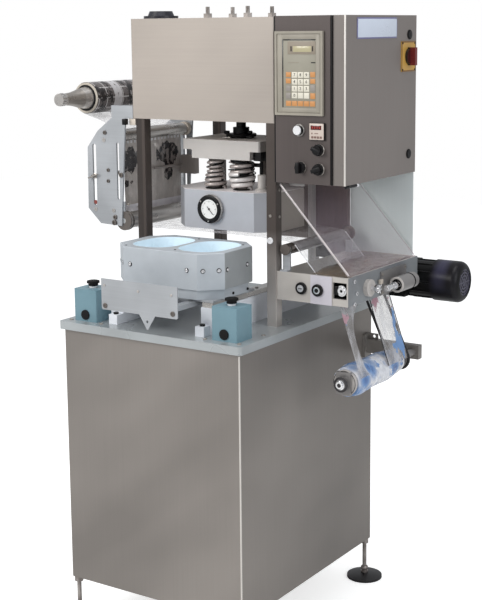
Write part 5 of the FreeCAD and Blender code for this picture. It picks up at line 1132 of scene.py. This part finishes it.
FILM_FRONT, FILM_REAR = -85, 210
UNDER_HEAD = 1183.6
film_feed = film_run("film_feed", "film_feed_shade", straight((-467.8, 1526.6), (-318.7, 1481.0), 10)[:-1]
                     + arc((-323.6, 1465), 16.6, 72.5, 0), lift=1.2)
film_drop = film_run("film_drop", "film_motif", straight((-306.9, 1464), (-306.9, 1203), 14)[:-1]
                     + arc((-281, 1202.8), 25.6, 180, 270, 6), lift=0.9)
film_inlet = film_run("film_inlet", "film_pressed", straight((-281, 1177.2), (-172, UNDER_HEAD), 8)[:-1]
                      + straight((-172, UNDER_HEAD), (14, UNDER_HEAD), 8), None, 0.45)
film_outlet = film_run("film_outlet", "film_pressed", straight((14, UNDER_HEAD), (200, UNDER_HEAD), 8)[:-1]
                       + straight((200, UNDER_HEAD), (288, 1178), 6)[:-1] + arc((297, 1160.2), 16.8, 105, 38),
                       None, 0.45)
film_out = film_run("film_out", "film_clear", straight((310.2, 1170.6), (383.6, 1089), 9), lift=1.6)
joined("film_out_edges", "film_edge",
       [block((-0.7, -1.2, -54.5), (0.7, 1.2, 54.5), 0.4, 2, facing((346.9, y, 1129.8), (73.4, 0, -81.6)))
        for y in (FILM_FRONT, FILM_REAR)])
for piece in (film_feed, film_drop, film_inlet, film_outlet, film_out):
    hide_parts("film_web")
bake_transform(film_inlet)
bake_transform(film_outlet)

HEAP_FRONT, HEAP_REAR, FRAME_TOP = -120, 288, 1098.6
heap = bmesh.new()
bmesh.ops.create_grid(heap, x_segments=26, y_segments=34, size=0.5)
for vert in heap.verts:
    s, t = vert.co.x + 0.5, vert.co.y + 0.5
    left = 382 - 38 * min(1.0, t * 1.3) + 6 * math.sin(t * 17)
    right = 503 - 16 * t + 3 * math.sin(t * 23 + 1)
    x, y = left + (right - left) * s, HEAP_FRONT - 4 + 408 * t + 10 * math.sin(s * 9)
    bulge = math.sin(math.pi * s) ** 0.7 * math.sin(math.pi * min(1.0, t * 1.02)) ** 0.5
    wave = (math.sin(x * 0.06 + y * 0.045) + 0.7 * math.sin(x * 0.11 - y * 0.07 + 2)
            + 0.5 * math.sin(y * 0.13 + s * 5))
    vert.co = at(x, min(HEAP_REAR, max(HEAP_FRONT, y)), FRAME_TOP + bulge * (4.2 + 2.4 * wave))
sheet("film_on_frame", "film_heap", heap)
print("five film runs, and the loose film on the frame")

# %% [markdown]
# The guard is clear, so what one sees of it is its edges. A bright bar follows its front edge, and
# thin ones run beside that and along its rear edge. Under the control cabinet it hangs on a grey
# angle and a black bar.

# %% Guard edges and its holder
slope = Vector((504.6 - 279.0, 0, 1100.5 - 1349.0))


def guard_bar(y, low, high, short, bevel):
    """A bar that lies along the guard's slope and is a little shorter than it at both ends."""
    half = slope.length / 2 - short
    return block((*low, -half), (*high, half), bevel, 2, facing((391.8, y, 1224.75), slope))


joined("guard_front_edge", "guard_edge", [guard_bar(-115.4, (-2.2, -2.6), (2.2, 2.6), 3, 0.8)])
joined("guard_edge_lines", "guard_line",
       [guard_bar(-116.4, (-3.2, -0.9), (-1.4, 0.9), 4, 0.3),
        guard_bar(291.6, (-0.9, -0.9), (0.9, 0.9), 4, 0.3)])
blocks("guard_holder", "clutch_grey",
       [((297, -110, 1351.4), (386, -98, 1354)), ((300, -101, 1343), (352, -98.6, 1353))], 0.6)
joined("guard_bar", "black_satin",
       [spun([(0, 0), (3.6, 0), (4.2, 0.8), (4.2, 60), (3.4, 61), (0, 61)], (494, -119, 1349.6), "y", 20),
        block((488, -112, 1349), (499, -98, 1354), 0.8)])
turned("guard_bar_knob", "white_plastic", "rail_white",
       [(0, 0), (4.6, 0), (5.4, 1.0), (5.4, 6.0), (4.4, 7.0), (0, 7.4)], (494, -58, 1349.6), "y", 24)
print("guard edges ready")

# %% [markdown]
# The drive frame has round bearing caps with black rings, a window that shows a bright roller end,
# three screws on its right face, a boss with a hexagon coupling, and the mouth of the slip clutch
# with its shaft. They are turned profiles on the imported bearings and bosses.

# %% Drive frame details
BEARING_Z = 1056
FRAME_RIGHT = 508
BOSS_Y, BOSS_Z = -16, 1054
CLUTCH_X, CLUTCH_Z = 545, 1047
bearing = [(10.2, 0), (17.5, 0), (17.5, 5.0), (16.4, 6.6), (11.4, 7.0), (10.2, 6.2)]
joined("bearing_rings", "black_satin",
       [spun(bearing, (357, -127.1, BEARING_Z), "-y", 40), spun(bearing, (412, -130.1, BEARING_Z), "-y", 40),
        spun([(0, 0), (6.4, 0), (6.4, 0.5), (5.8, 1.0), (0, 1.0)], (412, -137.6, BEARING_Z), "-y", 28),
        block((350.4, -135.7, 1054.9), (363.6, -134.7, 1057.1), 0.3)])
turned("bearing_disc", "chrome_metal", "plate_steel", [(6.6, 0), (10, 0), (10, 0.6), (9.4, 1), (6.6, 1)],
       (412, -137.6, BEARING_Z), "-y", 28)
joined("window_liner", "black_satin",
       [block(low, high, 0.3) for low, high in (
           ((459.6, -121, 1036.2), (461.6, -62, 1083)), ((500.4, -121, 1036.2), (502.4, -62, 1083)),
           ((459.6, -121, 1080.8), (502.4, -62, 1083)), ((459.6, -121, 1036.2), (502.4, -62, 1038.4)),
           ((459.6, -66, 1036.2), (502.4, -63, 1083)))]
       + [block((462.2, -124.4, 1047), (474, -116, 1072), 1.2)])
turned("window_roller_end", "chrome_metal", "roller_steel",
       [(0, 0), (4, 0), (4, 3), (11, 3), (12, 1.8), (12, 0.6), (15.6, 0.6), (15.6, -30), (15.1, -30),
        (15.1, 0), (0, 0)], (484, -121.4, 1059.5), "-y", 36)
screws("frame_side_screws", "chrome_metal",
       [(FRAME_RIGHT, y, z) for y, z in ((-98, 1085), (-84, 1049), (-96, 1020))], 6.0, 5.5, "x")
turned("boss_collar", "platen_metal", "zinc_steel",
       [(23.2, 0), (24.6, 0), (24.6, 13), (23.6, 14.2), (12, 14.6), (7.2, 14.6), (7.2, 12.2), (23.2, 12.2)],
       (508.2, BOSS_Y, BOSS_Z), "x")
joined("boss_star", "chrome_metal",
       [spun([(7.2, 0), (10.5, 0), (11.5, 1), (11.5, 7), (10.5, 8), (7.2, 8)], (534, BOSS_Y, BOSS_Z), "x", 6),
        spun([(0, 0), (8.2, 0), (8.2, 2.5), (6.2, 3.6), (0, 3.6)], (545, BOSS_Y, BOSS_Z), "x", 24)]
       + [block((6, -1.6, -2), (14, 1.6, 2), 0.6, 2, facing((547, BOSS_Y, BOSS_Z), "x") @ turned_by(angle))
          for angle in range(20, 380, 60)])


def on_clutch(profile, y, steps):
    return spun(profile, (CLUTCH_X, y, CLUTCH_Z), "y", steps)


joined("clutch_shaft", "chrome_metal",
       [on_clutch([(0, 0), (5.8, 0), (6.4, 0.6), (6.4, 96), (0, 96)], 30, 28),
        on_clutch(ring(6.5, 9.4, 9), 34, 28), on_clutch(ring(6.5, 11.4, 5), 78, 28)])
joined("clutch_mouth", "black_matte",
       [on_clutch(ring(12.0, 17.0, 24), 97.5, 36), on_clutch(ring(23.1, 23.8, 5), 168, 36)])
joined("clutch_rim", "platen_metal",
       [on_clutch([(17.1, 0), (22.4, 0), (23.0, 0.6), (23.0, 2.4), (17.1, 2.4)], 93.9, 40)])
screws("clutch_plate_screws", "zinc_metal", [(512, y, z) for y in (68, 214) for z in (1026, 1079)],
       4.4, 2.4, "x")
blocks("clutch_block_cap", "cream_metal", [((512.4, 44, 1054), (520, 60.6, 1067))], 1.0)
print("drive frame details ready")

# %% [markdown]
# The waste reel's front is a flange with a black bore, a bolt and four small screws. All of it
# turns with the reel. The film roll's front has a card core, a rubber ring and a cone with a
# bright, ribbed cap.

# %% Reel fronts
WASTE_X, WASTE_Z = 480, 789


def on_waste(profile, y, steps):
    return spun(profile, (WASTE_X, y, WASTE_Z), "y", steps)


joined("waste_flange", "platen_metal",
       [on_waste([(24, 0), (36.8, 0), (37.3, 0.6), (37.3, 9), (36.4, 10), (24, 10)], -97, 48)], "waste_reel")
joined("waste_bore", "roller_rubber",
       [on_waste([(16, 0), (21.4, 0), (22, 0.6), (22, 3.2), (16, 3.2)], -121, 36),
        on_waste([(0, 0), (5.4, 0), (6, 0.6), (6, 2), (0, 2)], -129.4, 24),
        on_waste(ring(34.2, 35.6, 1.4), -98.2, 48)], "waste_reel")
joined("waste_bolt", "chrome_metal",
       [on_waste([(6.1, 0), (10.4, 0), (11.4, 1), (11.4, 5), (14.4, 5.6), (14.4, 10.6), (6.1, 10.6)],
                 -129, 24)]
       + [screw((WASTE_X + 27 * math.cos(angle), -97.2, WASTE_Z + 27 * math.sin(angle)), 3.4, 2.0, "-y")
          for angle in map(math.radians, (45, 135, 225, 315))], "waste_reel")
for name, look, slot, profile, y, axis, steps in (
        ("roll_core", "core_board", "film_print",
         [(40.4, 0), (47.6, 0), (47.6, 2.6), (46.6, 3.4), (41.4, 3.4), (40.4, 2.6)], -84.9, "-y", 56),
        ("roll_rubber", "black_satin", "roller_rubber",
         [(35.6, 0), (40.3, 0), (40.3, 4.6), (39.2, 5.6), (35.6, 5.6)], -84.9, "-y", 56),
        ("hub_sleeve", "zinc_metal", "roller_steel",
         [(12.2, 0), (17.2, 0), (18.4, 1.2), (18.8, 12), (21.0, 34), (26.5, 60), (30.0, 71.5), (12.2, 71.5)],
         -191.4, "y", 48)):
    turned(name, look, slot, profile, (REEL[0], y, REEL[1]), axis, steps, "unwind_reel")
joined("shaft_cap_grip", "chrome_metal",
       [spun([(0, 0), (9, 0), (10, 0.8), (10, 1.6), (0, 1.6)], (REEL[0], -213.2, REEL[1]), "-y")]
       + [block((18.6, -0.9, 2), (20.0, 0.9, 19), 0.4, 1,
                facing((REEL[0], -193, REEL[1]), "-y") @ turned_by(22.5 * rib)) for rib in range(16)],
       "unwind_reel")
print("reel fronts ready")

# %% [markdown]
# Small fittings remain: the plugs of the two control boxes, thin white rings at their buttons'
# collars that carry a painted highlight, a white cap and screws on the front posts, the fan grille
# at the end of the motor, a painted highlight along the cabinet's corner and the rings of the lower
# roller's collar.

# %% Small fittings
BOXES_X = (-248, 248)
GRILLE = (633.6, 366, 1018)
joined("box_plugs", "black_matte",
       [spun([(0, 0), (14.8, 0), (14.8, 3.6), (13.8, 4.4), (0, 4.6)], (x, -357.6, 954), "-y", 36)
        for x in BOXES_X])
# Thin white rings round the mushroom buttons stand for their collars, and their white is a painted highlight
# on the box tops.
joined("box_collar_highlights", "white_plastic",
       [spun(ring(11.55, 11.9, 5.6), (x, -319.5, 1030.1), "z", 36) for x in BOXES_X])
turned("post_cap", "white_plastic", "rail_white",
       [(0, 0), (9.5, 0), (9.5, 3.2), (8.4, 4.6), (5.4, 4.8), (4.8, 2.6), (0, 2.6)],
       (256, -130.8, 1184.5), "-y", 32)
screws("post_screws_front", "zinc_metal", [(257, -131, 1256), (-257, -131, 1256)], 4.2, 2.2, "-y")
screws("post_screws_side", "zinc_metal", [(275, -113, 1253), (275, -113, 1330)], 4.2, 2.2, "x")
joined("motor_grille", "grille_grey",
       [spun(ring(radius - 2.4, radius + 2.4, 1.6), GRILLE, "x", 48) for radius in (10, 20, 30, 39)]
       + [block((-50, -1.4, 0.4), (50, 1.4, 2.2), 0.4, 1, facing(GRILLE, "x") @ turned_by(angle))
          for angle in (0, 45, 90, 135)])
# A pale rod along the cabinet's front corner is a painted highlight.
turned("cabinet_corner_highlight", "corner_light", "cabinet_paint", [(0, 0), (2.4, 0.6), (2.4, 766.4), (0, 767)],
       (310.4, -378.4, 138), "z", 16)
joined("lower_collar_rings", "dull_metal",
       [spun([(8, 0), (29.3, 0), (29.9, 0.8), (29.9, 3), (27, 3.4), (24, 1.4), (21.5, 1.4), (21, 0.6),
              (16, 0.6), (15.5, 1.6), (9, 1.6)], (-281, -127.4, 1202.8), "y", 44),
        spun([(29.1, 0), (30.2, 0.6), (30.2, 5), (29.1, 5.6)], (-281, -116, 1202.8), "y", 44)])
print("small fittings ready")
